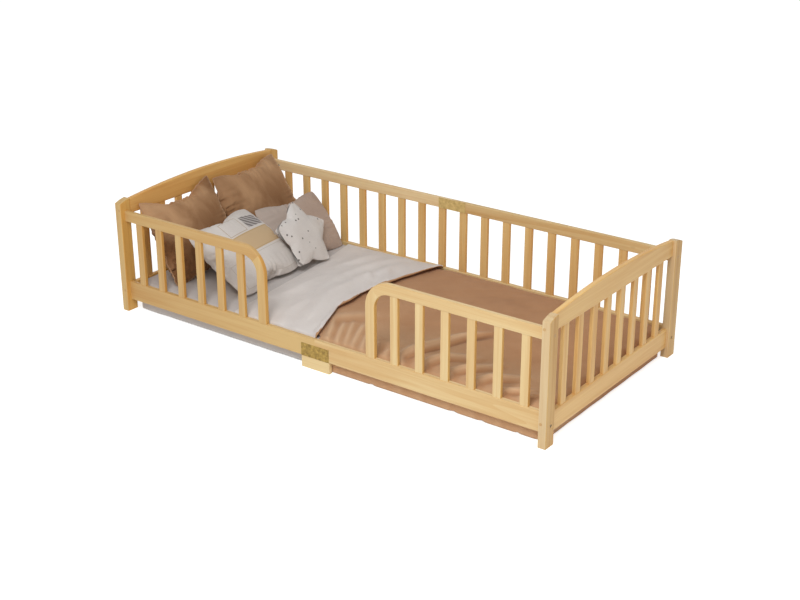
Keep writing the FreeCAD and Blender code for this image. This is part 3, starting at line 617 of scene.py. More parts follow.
# %% Mattress piece
INSIDE_SHEET = 0.0012
DRAWN_IN = 0.006


def make_mattress():
    low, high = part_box("mattress")
    bm = bed_block((low.x + INSIDE_SHEET, low.y + INSIDE_SHEET, low.z + 0.0005),
                   (high.x - INSIDE_SHEET, high.y - INSIDE_SHEET, high.z - 0.002), 0.038, 0.014, 0.05)
    for vert in bm.verts:
        for k in (0, 1):
            if vert.co.z < low.z + 0.002 and abs(vert.co[k]) > high[k] - 0.01:
                vert.co[k] -= math.copysign(DRAWN_IN, vert.co[k])
    flat_map(bm)
    return finish_piece("mattress_in_cover", bm, [knit_cover])


mattress = make_mattress()
soften(mattress)
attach(mattress, "root")
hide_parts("mattress")
print("mattress", [round(v, 3) for v in mattress.dimensions])

# %% [markdown]
# ## Heights of the bedding
#
# Each layer rests on the one below. Giving the top of each layer as a small function of x and y
# lets the next layer ask how high it has to lie, so nothing sinks in or floats. RISE is a
# layer's height over the sheet along its middle, and EDGE the height at its sides.

# %% Layer heights
SHEET_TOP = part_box("fitted_sheet")[1].z
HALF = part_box("bedspread")[1].y
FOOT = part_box("bedspread")[1].x
SPREAD_HEAD = -0.19
SPREAD_RISE = ((SPREAD_HEAD, 0.014), (0.06, 0.030), (0.42, 0.027), (0.76, 0.020), (1.006, 0.010))
SPREAD_EDGE = ((SPREAD_HEAD, 0.005), (0.06, 0.007), (0.76, 0.006), (1.006, 0.005))
DUVET_RISE = ((-0.58, 0.007), (-0.47, 0.0085), (-0.35, 0.028), (-0.17, 0.045), (-0.08, 0.048))
DUVET_EDGE = ((-0.58, 0.004), (-0.35, 0.008), (0.01, 0.010))
SPREAD_FOLDS = (
    (((0.385, -0.440), (0.357, -0.394), (0.366, -0.325), (0.418, -0.239), (0.463, -0.134),
      (0.525, -0.047)), 0.019, 0.013),
    (((0.480, -0.445), (0.465, -0.392), (0.483, -0.333), (0.515, -0.299), (0.603, -0.255)), 0.016, 0.011),
    (((0.600, -0.445), (0.582, -0.396), (0.607, -0.347), (0.642, -0.316), (0.700, -0.265)), 0.016, 0.011),
    (((0.712, -0.445), (0.700, -0.403), (0.723, -0.350), (0.763, -0.328), (0.830, -0.290)), 0.015, 0.011),
    (((0.822, -0.445), (0.815, -0.410), (0.857, -0.379), (0.900, -0.350)), 0.013, 0.010),
    (((0.042, -0.445), (-0.008, -0.350), (-0.056, -0.283)), 0.009, 0.009),
    (((0.086, -0.440), (0.047, -0.369), (0.008, -0.294)), 0.011, 0.009),
    (((0.120, -0.435), (0.072, -0.343), (0.035, -0.270)), 0.010, 0.010),
    (((0.155, -0.435), (0.114, -0.342), (0.085, -0.270)), 0.012, 0.010),
    (((0.205, -0.440), (0.155, -0.353), (0.130, -0.290)), 0.009, 0.010),
    (((0.262, -0.440), (0.235, -0.395), (0.215, -0.350)), 0.008, 0.011),
    (((0.315, -0.440), (0.295, -0.405), (0.285, -0.370)), 0.006, 0.010),
    (((-0.070, -0.300), (-0.058, -0.266), (-0.016, -0.229), (0.040, -0.190), (0.110, -0.165)), 0.005, 0.020),
    (((0.915, -0.445), (0.900, -0.400), (0.930, -0.350)), 0.010, 0.010),
)
DUVET_FOLDS = (
    (((-0.14, -0.30), (-0.20, -0.12), (-0.20, 0.08), (-0.15, 0.28)), 0.011, 0.026),
    (((-0.28, -0.10), (-0.30, 0.08), (-0.26, 0.30), (-0.22, 0.42)), 0.010, 0.024),
    (((-0.10, 0.12), (-0.16, 0.22), (-0.18, 0.36)), 0.009, 0.016),
    (((-0.42, -0.30), (-0.36, -0.16), (-0.37, 0.04)), 0.006, 0.024),
    (((-0.20, -0.42), (-0.24, -0.34), (-0.25, -0.22)), 0.008, 0.018),
    (((-0.40, 0.18), (-0.36, 0.28), (-0.36, 0.40)), 0.007, 0.018),
    (((-0.13, 0.0), (-0.17, 0.10), (-0.24, 0.16)), 0.007, 0.014),
)


def crown(y, share=2.2):
    return 1.0 - min(1.0, abs(y) / HALF) ** share


def spread_folds(x, y):
    calm = 1.0 - smoothstep(0.432, HALF, abs(y)) * 0.7
    folds = fold_height(SPREAD_FOLDS, x, y) + 0.0028 * ripple(x, y, 0, 6.0, 3.0)
    return (folds + 0.0010 * ripple(x, y, 0, 24.0, 6.0)) * calm


def spread_top(x, y):
    edge = along_table(SPREAD_EDGE, x)
    rise = along_table(SPREAD_RISE, x)
    lowest = SHEET_TOP + edge - 0.0005
    return max(lowest, SHEET_TOP + edge + (rise - edge) * crown(y) + spread_folds(x, y))


def under_duvet(x, y):
    """The height of what the duvet lies on: the sheet, then the bedspread where that covers it."""
    if x < SPREAD_HEAD:
        return SHEET_TOP
    bare_corner = smoothstep(0.418, 0.434, abs(y)) * smoothstep(0.0, -0.03, x)
    covered = smoothstep(SPREAD_HEAD, -0.15, x) * (1 - bare_corner)
    return SHEET_TOP + (spread_top(x, y) - SHEET_TOP) * covered


def duvet_top(x, y):
    edge = along_table(DUVET_EDGE, x)
    rise = along_table(DUVET_RISE, x)
    folds = fold_height(DUVET_FOLDS, x, y) + 0.005 * ripple(x, y, 0, 5.0, 11.0)
    folds += 0.0012 * ripple(x, y, 0, 22.0, 5.0)
    folds *= smoothstep(-0.50, -0.40, x)
    return SHEET_TOP + edge + (rise - edge) * crown(y, 3.0) + folds


print("sheet at %.4f, bedspread up to %.4f" % (SHEET_TOP, spread_top(0.1, 0.0)))

# %% [markdown]
# ## Fitted sheet
#
# A fitted sheet is cut with a deep drop and drawn tight by elastic under the mattress, so it
# follows the block closely, almost flat on top and with small ripples down its sides. It is a
# shell without a floor, given the thickness of cotton by a Solidify modifier.

# %% Sheet piece
SHEET_THICK = 0.0012
SHEET_DROP = 0.1


def make_sheet():
    low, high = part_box("fitted_sheet")
    bm = bed_block(low, high, 0.041, 0.015, 0.024)
    bmesh.ops.delete(bm, geom=[f for f in bm.faces if f.normal.z < -0.9], context="FACES")
    for vert in bm.verts:
        x, y, z = vert.co
        if z > high.z - 0.001:
            vert.co.z += 0.0007 * ripple(x, y, 0, 9.0, 1.0)
        elif z < high.z - 0.02:
            down = 1 - (z - low.z) / SHEET_DROP
            pull = 0.0008 * math.sin(x * 55 + 2 * ripple(x, y, 0, 6, 2)) * down
            vert.co.y -= math.copysign(abs(pull), y)
            vert.co.z += 0.002 * ripple(x, y, 0, 14.0, 5.0) * down
    flat_map(bm)
    return finish_piece("fitted_sheet_cotton", bm, [grey_cotton])


sheet = make_sheet()
thicken(sheet, SHEET_THICK)
soften(sheet)
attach(sheet, "root")
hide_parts("fitted_sheet")
print("sheet", [round(v, 3) for v in sheet.dimensions])

# %% [markdown]
# ## Bedspread
#
# The brown spread covers the foot half, is tucked down between mattress and rails to the floor,
# and puffs up into folds along the open front where it was pushed in. The same block is cut
# open at its head end, and every point is lifted to the height that its layer has there. The
# height of the folds is also kept on the points, for painted light and shade: a painted highlight
# on each ridge, painted shade down in each crease, and more painted light towards the open front.

# %% Bedspread piece
SPREAD_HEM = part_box("bedspread")[0].z
SPREAD_THICK = 0.003
SPREAD_CUT = -0.149
FOLD_SHADE_SCALE = 0.0115
NOTCHES = ((0.257, 0.010), (0.628, 0.014), (0.750, 0.010), (-0.02, 0.010), (0.90, 0.008))
GATHERED_FROM, GATHERED = 0.10, 0.59
SIDE_DENT, HEM_LIFT, FOOT_DENT = 0.0016, 0.003, 0.0012


def make_spread():
    top = SHEET_TOP + 0.02
    bm = bed_block((SPREAD_HEAD, -HALF, SPREAD_HEM), (FOOT, HALF, top), 0.040, 0.022, 0.0064)
    gone = [f for f in bm.faces if f.normal.z < -0.9 or f.calc_center_median().x < SPREAD_CUT]
    bmesh.ops.delete(bm, geom=gone, context="FACES")
    creases = bm.verts.layers.float.new("fold_shading")
    for vert in bm.verts:
        x, y, z = vert.co
        share = (z - SPREAD_HEM) / (top - SPREAD_HEM)
        if x < GATHERED_FROM:
            drawn = GATHERED * smoothstep(0.395, 0.428, abs(y))
            x = GATHERED_FROM - (GATHERED_FROM - x) * (1 - drawn)
            vert.co.x = x
        vert.co.z = SPREAD_HEM + share * (spread_top(x, y) - SPREAD_HEM)
        # Painted light and shade kept on the points: highlight on ridges, shade in hollows, more light
        # towards the open front.
        vert[creases] = spread_folds(x, y) / FOLD_SHADE_SCALE + 0.50 * smoothstep(-0.08, -0.30, y)
        if abs(y) > HALF - 0.003 and share < 0.8:
            dent = sum(math.exp(-((x - place) / width) ** 2) for place, width in NOTCHES)
            wave = 0.5 + 0.5 * math.sin(x * 38 + 3 * ripple(x, 0, 0, 3.0, 8.0))
            vert.co.y -= math.copysign(SIDE_DENT * min(1.0, dent + 0.25 * wave) * (1 - share), y)
            vert.co.z += HEM_LIFT * min(1.0, dent) * (1 - share) ** 2
        if x > FOOT - 0.003 and share < 0.8:
            vert.co.x -= FOOT_DENT * (0.5 + 0.5 * math.sin(y * 40)) * (1 - share)
    flat_map(bm)
    return finish_piece("bedspread_tucked", bm, [fold_shaded_cotton])


bedspread = make_spread()
thicken(bedspread, SPREAD_THICK)
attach(bedspread, "root")
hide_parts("bedspread")
print("bedspread", [round(v, 3) for v in bedspread.dimensions])

# %% [markdown]
# ## Turned-back duvet
#
# The pale duvet lies over the head edge of the bedspread. It is filled, so both ends are round
# rolls, and the brown side of its cover just shows along the free edge, which stands a finger's
# width off the bedspread and throws a dark line under it. Both ends wander over the bed, each
# along its own table of places.

# %% Duvet piece
FREE_EDGE = ((-0.44, -0.012), (-0.315, -0.055), (-0.203, -0.107), (-0.13, -0.096), (-0.04, -0.114),
             (0.018, -0.108), (0.133, -0.083), (0.25, -0.072), (0.356, -0.047), (0.43, -0.040))
HEAD_EDGE = ((-0.44, -0.438), (-0.2, -0.462), (0.0, -0.482), (0.246, -0.512), (0.44, -0.553))
BROWN_ROLL = ((-0.44, 1.0), (-0.41, 0.9), (-0.38, 0.25), (-0.30, 0.20), (-0.215, 0.35), (-0.17, 1.0),
              (-0.10, 0.9), (-0.03, 0.3), (0.0, 0.6), (0.06, 1.0), (0.30, 0.9), (0.44, 0.5))
DUVET_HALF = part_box("duvet")[1].y
DUVET_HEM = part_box("duvet")[0].z
BLOCK_START, BLOCK_END, BLOCK_HEIGHT = -0.55, -0.02, 0.05
BROWN_HEM, BROWN_SHOWN = 0.010, 0.034
FREE_NOSE, HEAD_NOSE = 0.009, 0.004
TUCK_FROM, TUCK_TO = 0.4385, 0.4438
LIFT, FREE_LIFT = 0.0024, 0.013
LEAST_THICK, FREE_THICK = 0.004, 0.008


def make_duvet():
    top = DUVET_HEM + BLOCK_HEIGHT
    bm = bed_block((BLOCK_START, -DUVET_HALF, DUVET_HEM), (BLOCK_END, DUVET_HALF, top),
                   0.012, 0.012, 0.0098)
    for face in bm.faces:
        at = face.calc_center_median()
        brown_to = DUVET_HEM + BROWN_HEM + BROWN_SHOWN * along_table(BROWN_ROLL, at.y, straight)
        if face.normal.z < -0.5 or (at.x > BLOCK_END - 0.006 and at.z < brown_to):
            face.material_index = 1
    for vert in bm.verts:
        x, y, z = vert.co
        share = (z - DUVET_HEM) / (top - DUVET_HEM)
        length = straight(BLOCK_START, BLOCK_END, x)
        head, free = along_table(HEAD_EDGE, y, straight), along_table(FREE_EDGE, y, straight)
        wave = 0.002 * ripple(0, y, 0, 16.0, 4.0) * length
        x = head + (free - head) * length + wave
        nose = 4 * share * (1 - share)
        if length > 0.995:
            x += FREE_NOSE * nose
        if length < 0.005:
            x -= HEAD_NOSE * nose
        tuck = smoothstep(TUCK_FROM, TUCK_TO, abs(y))
        waves = 0.7 + 0.7 * ripple(0, y, 0, 7.0, 2.0)
        bottom = under_duvet(x, y) + LIFT + FREE_LIFT * smoothstep(0.90, 1.0, length) * waves
        bottom += (DUVET_HEM - bottom) * tuck
        roof = duvet_top(x, y) - 0.003 * smoothstep(0.05, 0.0, length)
        roof = max(roof, bottom + LEAST_THICK + FREE_THICK * smoothstep(0.93, 1.0, length) * (1 - tuck))
        vert.co = (x, y, bottom + share * (roof - bottom))
    bm.normal_update()
    flat_map(bm)
    return finish_piece("duvet_turned_back", bm, [pale_cotton, brown_cotton])


duvet = make_duvet()
soften(duvet)
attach(duvet, "root")
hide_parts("duvet")
print("duvet", [round(v, 3) for v in duvet.dimensions])

# %% [markdown]
# ## Filling a cushion
#
# A cushion is two flat pieces of cloth sewn together at the edge and stuffed. Modelling its
# puckers by hand is slow, so the flat envelope is blown up by a cloth simulation without
# gravity: the middle swells, the sides pull in between the corners and the seam puckers. The
# result is kept as a mesh, brought to the cushion's own size and then stood in its place.

# %% Envelope and simulation
FILL_FRAMES = 30
FILL_PRESSURE = 5.0
CLOTH_STIFFNESS = 14.0
START_SWELL = 0.012
SEAM_REACH = 0.0004
BACK_ASIDE = 2.0


def square_envelope(width, height, cells, soft_corner):
    """Two flat cloths sewn at their edges; the back one's map lies two metres aside."""
    bm = bmesh.new()
    layer = bm.loops.layers.uv.new("flat")
    for side in (1, -1):
        verts = bmesh.ops.create_grid(bm, x_segments=cells, y_segments=cells, size=0.5)["verts"]
        faces = list({f for v in verts for f in v.link_faces})
        if side < 0:
            bmesh.ops.reverse_faces(bm, faces=faces)
        for face in faces:
            for loop in face.loops:
                u, v, _ = loop.vert.co
                loop[layer].uv = (u * width + (0.0 if side > 0 else BACK_ASIDE), v * height)
        for vert in verts:
            u, v = vert.co.x * 2, vert.co.y * 2
            swell = START_SWELL * side * (1 - u ** 4) * (1 - v ** 4)
            round_off = 1 - soft_corner * (u * v) ** 4
            vert.co = (u * width / 2 * round_off, v * height / 2 * round_off, swell)
    bmesh.ops.remove_doubles(bm, verts=bm.verts, dist=SEAM_REACH)
    return bm


def blow_up(piece, bending, thick):
    """Fill an envelope until it is as thick as asked, and keep that shape."""
    cloth = piece.modifiers.new("filling", "CLOTH")
    set_all(cloth.settings, quality=6, mass=0.25, tension_stiffness=CLOTH_STIFFNESS,
            compression_stiffness=CLOTH_STIFFNESS, shear_stiffness=CLOTH_STIFFNESS * 0.5,
            bending_stiffness=bending, use_pressure=True, uniform_pressure_force=FILL_PRESSURE)
    cloth.settings.effector_weights.gravity = 0.0
    cloth.collision_settings.use_collision = False
    cloth.point_cache.frame_end = FILL_FRAMES
    for number in range(1, FILL_FRAMES + 1):
        scene.frame_set(number)
        graph = bpy.context.evaluated_depsgraph_get()
        lows, highs = extent(piece.evaluated_get(graph))
        if highs[2] - lows[2] >= thick:
            break
    print(piece.name, "filled in", number, "steps")
    shaped = bpy.data.meshes.new_from_object(
        piece.evaluated_get(graph), preserve_all_data_layers=True, depsgraph=graph)
    piece.modifiers.clear()
    old = piece.data
    piece.data = shaped
    shaped.name = piece.name
    bpy.data.meshes.remove(old)
    scene.frame_set(1)


def fit(piece, size):
    """Scale a filled cushion about its middle to width, height and thickness."""
    lows, highs = extent(piece)
    for vert in piece.data.vertices:
        for k in range(3):
            middle = (lows[k] + highs[k]) / 2
            vert.co[k] = (vert.co[k] - middle) * size[k] / (highs[k] - lows[k])


def stand(piece, lean, turn, roll):
    """Roll a cushion in its plane, stand it up and lean it towards the headboard."""
    spin = (Matrix.Rotation(math.radians(turn), 4, "Z")
            @ Matrix.Rotation(math.radians(90 - lean), 4, "Y")
            @ Matrix.Rotation(math.radians(90 + roll), 4, "Z"))
    piece.data.transform(spin)


print("a filling takes at most", FILL_FRAMES, "steps")

# %% [markdown]
# ## Piping
#
# A cord covered in the same cloth is sewn into the seam. It follows the seam's own points after
# the filling, as a thin closed tube.

# %% Seam cord
CORD_SLOT = 1


def seam_loop(piece):
    """The points where front and back meet, in order, found before the cushion is turned."""
    bm = bmesh.new()
    bm.from_mesh(piece.data)
    layer = bm.loops.layers.uv["flat"]
    seam = set()
    for edge in bm.edges:
        sides = {any(loop[layer].uv.x > 1.0 for loop in face.loops) for face in edge.link_faces}
        if len(sides) == 2:
            seam.add(edge.index)
    bm.edges.ensure_lookup_table()
    order = list(bm.edges[min(seam)].verts)
    while True:
        here = order[-1]
        following = [e.other_vert(here) for e in here.link_edges
                     if e.index in seam and e.other_vert(here) != order[-2]]
        if not following or following[0] == order[0]:
            break
        order.append(following[0])
    found = [v.index for v in order]
    bm.free()
    return found


def add_cord(piece, radius):
    loop = seam_loop(piece)
    curve = set_all(bpy.data.curves.new("cord", "CURVE"), dimensions="3D", bevel_depth=radius,
                    bevel_resolution=2)
    line = curve.splines.new("POLY")
    line.points.add(len(loop) - 1)
    for point, index in zip(line.points, loop):
        point.co = (*piece.data.vertices[index].co, 1.0)
    line.use_cyclic_u = True
    holder = bpy.data.objects.new("cord", curve)
    scene.collection.objects.link(holder)
    tube = bpy.data.meshes.new_from_object(holder.evaluated_get(bpy.context.evaluated_depsgraph_get()))
    bm = bmesh.new()
    bm.from_mesh(piece.data)
    count = len(bm.faces)
    bm.from_mesh(tube)
    bm.faces.ensure_lookup_table()
    for face in bm.faces[count:]:
        face.material_index = CORD_SLOT
        face.smooth = True
    bmesh.ops.recalc_face_normals(bm, faces=bm.faces[count:])
    bm.to_mesh(piece.data)
    bm.free()
    bpy.data.objects.remove(holder)
    bpy.data.meshes.remove(tube)
    bpy.data.curves.remove(curve)


print("cord helper ready")

# %% [markdown]
# ## Velvet
#
# Short velvet is dark where you look into the pile and pale where it is brushed over, most of
# all along folds and at grazing angles. The brushing is noise drawn out along the nap. The upper
# part of a cushion gets painted light, and near the gap where the two large cushions press on
# each other it is left in painted shade; the pale rim comes from the shader's sheen.

# %% Velvet material
VELVET_GAP_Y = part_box("cushion_velvet_front")[1].y


def velvet_material(name, light, dark):
    made, tree, surface = shader(name, Sheen_Weight=0.9, Sheen_Roughness=0.35,
                                 Sheen_Tint=srgb(226, 196, 164), Specular_IOR_Level=0.15)
    flat = add(tree, "ShaderNodeUVMap", uv_map="flat").outputs[0]
    brushed = cloudy(tree, stretched(tree, flat, (9.0, 5.0, 1.0)), 1.0, 3.0, 0.5, 0.4)
    pile = cloudy(tree, flat, 900.0, 1.0)
    place = parts(tree, add(tree, "ShaderNodeTexCoord").outputs["Object"])
    # Painted light on the upper part of each cushion, held back to painted shade near the gap between the
    # two large cushions.
    from_gap = math_node(tree, "ABSOLUTE", math_node(tree, "SUBTRACT", place["Y"], VELVET_GAP_Y))
    painted_top_light = math_node(tree, "MULTIPLY", spread(tree, place["Z"], 0.28, 0.52, 0.0, 0.42),
                        spread(tree, from_gap, 0.03, 0.17))
    share = weighted_sum(
        tree,
        (painted_top_light, 1.0),
        (spread(tree, brushed, 0.40, 0.76), 0.45),
        (spread(tree, pile, 0.3, 0.7), 0.12))
    wire(tree, surface, Base_Color=mix_colour(tree, share, dark, light),
         Roughness=spread(tree, brushed, 0.3, 0.7, 0.85, 0.70))
    bump(tree, surface, pile, 0.0003, 0.4)
    return made


brown_velvet = velvet_material("brown velvet", srgb(224, 181, 138), srgb(122, 82, 50))
# The piping is paler than the velvet, partly as a painted highlight along the seams.
velvet_cord = velvet_material("velvet piping", srgb(206, 168, 134), srgb(176, 136, 104))
print("velvet ready")

# %% [markdown]
# ## Shaping a cushion
#
# A filling alone is too even. The top edge is sunk between its corners, as a soft cushion does
# after a chop with the hand, the seam gets short gathers, and the lower edge is pressed flat.
# Where something leans on a cushion, `crush` swells and crumples its cloth, and `give_way`
# presses it back from the neighbours that already stand. Every cushion takes the same steps.

# %% Shaping a cushion
CELLS = 44
EASE = 1.03
CUSHION_BENDING = 0.6
LEAST_TRIM, MOST_TRIM = 0.86, 1.03
CLEAR_OF_SHEET = 0.0014
PRESS_REACH = 0.035
FOOT_HEIGHT, FOOT_FLAT = 0.05, 0.35


def over(vert, width, height):
    """Where a point lies on a flat cushion, from -1 to 1 each way."""
    return vert.co.x / (width / 2), vert.co.y / (height / 2)


def sink_top(piece, depth, width, height):
    for vert in piece.data.vertices:
        u, v = over(vert, width, height)
        vert.co.y -= depth * max(0.0, 1 - u * u) * smoothstep(-0.2, 1.0, v)


def flatten_foot(piece):
    """Press the lower edge flat where the cushion's weight rests."""
    floor_z = extent(piece)[0][2]
    for vert in piece.data.vertices:
        up = vert.co.z - floor_z
        if up < FOOT_HEIGHT:
            vert.co.z = floor_z + up * (1 - FOOT_FLAT) + FOOT_FLAT * up * up / FOOT_HEIGHT


def soft_place(piece, node):
    """Bring a cushion to its solid's box: trimmed by a few hundredths, then moved."""
    a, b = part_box(node)
    lows, highs = extent(piece)
    trim = [min(MOST_TRIM, max(LEAST_TRIM, (b[k] - a[k]) / (highs[k] - lows[k]))) for k in range(3)]
    for vert in piece.data.vertices:
        for k in range(3):
            middle = (lows[k] + highs[k]) / 2
            vert.co[k] = (a[k] + b[k]) / 2 + (vert.co[k] - middle) * trim[k]
        vert.co.z += CLEAR_OF_SHEET
    return [round(v, 3) for v in trim]


def give_way(piece, neighbours, gap=0.0030):
    """Where a cushion would enter one that already stands, its cloth is pressed back."""
    moved = 0
    graph = bpy.context.evaluated_depsgraph_get()
    for other in list(neighbours) * 2:
        tree = BVHTree.FromObject(other, graph)
        for vert in piece.data.vertices:
            spot, normal, _, _ = tree.find_nearest(vert.co, PRESS_REACH)
            if spot is None:
                continue
            outside = (vert.co - spot).dot(normal)
            if outside < gap:
                vert.co += normal * (gap - outside)
                moved += 1
    return moved


def crush(piece, from_y, to_y, low, high, aside, back, crumple):
    """Swell a standing cushion between two heights near one side, and crumple the cloth there."""
    for vert in piece.data.vertices:
        x, y, z = vert.co
        reach = smoothstep(from_y, to_y, y)
        reach *= smoothstep(low - 0.03, low + 0.03, z) * smoothstep(high + 0.05, high - 0.03, z)
        creases = ripple(x, y, z, 30.0, 2.0) + 0.6 * ripple(z, x, y, 62.0, 5.0)
        vert.co += Vector((crumple * creases - back, math.copysign(aside, to_y - from_y), 0)) * reach


def fill_sides(piece, amount, width, height):
    """Push the drawn-in sides out again a little, as a well stuffed cushion does."""
    for vert in piece.data.vertices:
        u, v = over(vert, width, height)
        vert.co.x += amount * u * abs(u) * max(0.0, 1 - v * v) * width / 2
        vert.co.y += amount * v * abs(v) * max(0.0, 1 - u * u) * height / 2


def pucker(piece, width, height, depth, seed):
    """A finer net, with short gathers that run in from the seam and soft dents between."""
    bm = bmesh.new()
    bm.from_mesh(piece.data)
    bmesh.ops.subdivide_edges(bm, edges=bm.edges[:], cuts=1, use_grid_fill=True, smooth=0.6)
    bm.normal_update()
    moves = []
    for vert in bm.verts:
        u, v = over(vert, width, height)
        side = max(abs(u), abs(v))
        along = vert.co.y if abs(u) > abs(v) else vert.co.x
        gather = math.sin(along * 230 + 5 * ripple(along, seed, 0, 12.0, seed))
        gather *= 0.5 + 0.9 * ripple(vert.co.x, vert.co.y, 0, 9.0, seed + 4)
        dent = ripple(vert.co.x, vert.co.y, vert.co.z, 11.0, seed + 9)
        fade = smoothstep(0.40, 0.84, side) * smoothstep(1.0, 0.94, side)
        moves.append(vert.normal * depth * (gather * fade + 0.9 * dent * smoothstep(1.0, 0.8, side)))
    for vert, move in zip(bm.verts, moves):
        vert.co += move
    bm.to_mesh(piece.data)
    bm.free()
    piece.data.shade_smooth()


def make_cushion(name, node, slot, materials, size, pose, sag, corner, full,
                 gathers=0.0016, cord=0.0, crushed=(), beside=()):
    width, height, thick = size
    piece = finish_piece(name, square_envelope(width * EASE, height * EASE, CELLS, corner), materials)
    blow_up(piece, CUSHION_BENDING, thick)
    fit(piece, size)
    fill_sides(piece, full, width, height)
    sink_top(piece, sag, width, height)
    pucker(piece, width, height, gathers, width * 10)
    if cord:
        add_cord(piece, cord)
    stand(piece, *pose)
    flatten_foot(piece)
    made = soft_place(piece, node)
    for spot in crushed:
        crush(piece, **spot)
    soften(piece)
    pressed = give_way(piece, beside)
    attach(piece, "root")
    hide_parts(node)
    print(name, "trimmed by", made, "and pressed back at", pressed, "points")
    return piece


print("cushions are cut from", CELLS, "by", CELLS, "cells")

# %% [markdown]
# ## The two velvet cushions
#
# Each leans on the headboard with its top corners up like ears. The first one is crumpled low
# down at the open front, and the second one at the corner that stands behind the first.

# %% Velvet cushions
VELVET = {"materials": [brown_velvet, velvet_cord], "size": (0.412, 0.392, 0.116), "corner": 0.02,
          "gathers": 0.0030, "cord": 0.0023}
NEAR_BED_SIDE = {"from_y": -0.26, "to_y": -0.36, "low": 0.14, "high": 0.27,
                 "aside": 0.004, "back": 0.0, "crumple": 0.020}
BEHIND_FRONT = {"from_y": 0.14, "to_y": 0.05, "low": 0.275, "high": 0.36,
                "aside": 0.036, "back": 0.020, "crumple": 0.022}
velvet_front = make_cushion("velvet_cushion_front", "cushion_velvet_front", "velvet",
                            pose=(28, -2, 3.4), sag=0.042, full=0.10, crushed=[NEAR_BED_SIDE], **VELVET)
velvet_back = make_cushion("velvet_cushion_back", "cushion_velvet_back", "velvet",
                           pose=(31, 0, 2.4), sag=0.016, full=0.12, crushed=[BEHIND_FRONT],
                           beside=[velvet_front], **VELVET)

# %% [markdown]
# ## Patched cushion
#
# Off-white cotton with a few plain patches sewn on: a broad beige band, a grey hatched square
# and two thin outlines. A patch is a rectangle on the flat map, so a small group gives its mask
# and the stitch line round it, and each patch mixes its own cloth colour in.

# %% Patch group and material
STITCH_INSET = 0.004


def make_patch():
    tree, start, end = group("sewn patch", {"Inside": "NodeSocketFloat", "Stitch": "NodeSocketFloat"},
                             Place=NOWHERE, Middle=NOWHERE, Half_size=NOWHERE)
    away = vector_node(tree, "ABSOLUTE", vector_node(tree, "SUBTRACT", start["Place"], start["Middle"]))
    left = parts(tree, vector_node(tree, "SUBTRACT", start["Half size"], away))
    margin = math_node(tree, "MINIMUM", left["X"], left["Y"])
    from_stitch = math_node(tree, "ABSOLUTE", math_node(tree, "SUBTRACT", margin, STITCH_INSET))
    wire(tree, end, Inside=spread(tree, margin, -0.0004, 0.0004),
         Stitch=spread(tree, from_stitch, 0.0014, 0.0006))
    return tree


sewn_patch = make_patch()


def lay_patch(tree, flat, colour, middle, half, cloth=None, stitch=None):
    """Lay a patch over the colour so far: its cloth, its stitch line, or both."""
    patch = use(tree, sewn_patch, Place=flat, Middle=(*middle, 0), Half_size=(*half, 1.0))
    for mask, laid in (("Inside", cloth), ("Stitch", stitch)):
        if laid is not None:
            colour = mix_colour(tree, patch[mask], colour, laid)
    return colour


def patched_material():
    made, tree, surface, flat, colour = cloth_parts(
        "patched cotton", srgb(228, 222, 216), srgb(208, 200, 194), 300.0, 0.10)
    hatch = wire(tree, add(tree, "ShaderNodeTexWave", wave_type="BANDS", bands_direction="DIAGONAL"),
                 Vector=flat, Scale=22.0)
    hatched = mix_colour(tree, spread(tree, hatch.outputs["Fac"], 0.45, 0.6),
                         srgb(120, 112, 110), srgb(186, 180, 176))
    for middle, half, cloth, stitch in (
        ((0.04, 0.003), (0.112, 0.044), srgb(206, 178, 140), srgb(182, 152, 114)),
        ((0.107, 0.089), (0.048, 0.030), hatched, None),
        ((-0.012, 0.090), (0.056, 0.040), None, srgb(176, 150, 118)),
        ((0.0, -0.105), (0.17, 0.058), None, srgb(196, 186, 176)),
    ):
        colour = lay_patch(tree, flat, colour, middle, half, cloth, stitch)
    wire(tree, surface, Base_Color=colour)
    return made


patched_cotton = patched_material()
patched = make_cushion("patched_cushion_soft", "cushion_patched", "patched_cloth", [patched_cotton],
                       size=(0.404, 0.360, 0.130), pose=(54, 2.2, 3.5), sag=0.0, corner=0.07, full=0.09,
                       beside=[velvet_front, velvet_back])

# %% [markdown]
# ## Lumbar cushion
#
# A small oblong cushion in taupe linen with a greyer end leans on the velvet ones. Linen is
# coarser than cotton, so its threads are fewer to the metre and its colour wanders more.

# %% Taupe cushion
def linen_material():
    made, tree, surface, flat, colour = cloth_parts(
        "taupe linen", srgb(199, 177, 161), srgb(171, 149, 135), 210.0, 0.15)
    colour = lay_patch(tree, flat, colour, (-0.15, 0.0), (0.11, 0.20),
                       srgb(182, 166, 155), srgb(150, 137, 127))
    wire(tree, surface, Base_Color=colour)
    return made


taupe_linen = linen_material()
taupe = make_cushion("taupe_cushion_soft", "cushion_taupe", "taupe_cloth", [taupe_linen],
                     size=(0.380, 0.286, 0.092), pose=(40, -3.9, -0.2), sag=0.006, corner=0.05, full=0.06,
                     beside=[velvet_front, velvet_back, patched])

# %% [markdown]
# ## Star cushion
#
# Five kites round a middle point make a star. Each kite is subdivided into a net, the net is
# doubled for the back, and the same filling turns it into a plump star with rounded tips. Small
# dark specks are sprinkled by a cell pattern that keeps them apart.

# %% Star envelope
STAR_TIP = 0.178
STAR_VALLEY = 0.118
ROUND_FROM = STAR_TIP - 0.0528
ROUNDED_OFF = 0.42
STAR_CUTS = 11
STAR_FILLED, STAR_THICK, STAR_BENDING = 0.055, 0.062, 0.8


def star_corner(k):
    """The star's ten corners, tips and valleys in turn, from the upper tip round."""
    reach = STAR_VALLEY if k % 2 else STAR_TIP
    angle = math.radians(90 + 36 * k)
    return reach * math.cos(angle), reach * math.sin(angle)


def inside_star(x, y):
    """How far a point lies inside the star's edge."""
    return min(beside_line(x, y, star_corner(k), star_corner(k + 1))[0] for k in range(10))


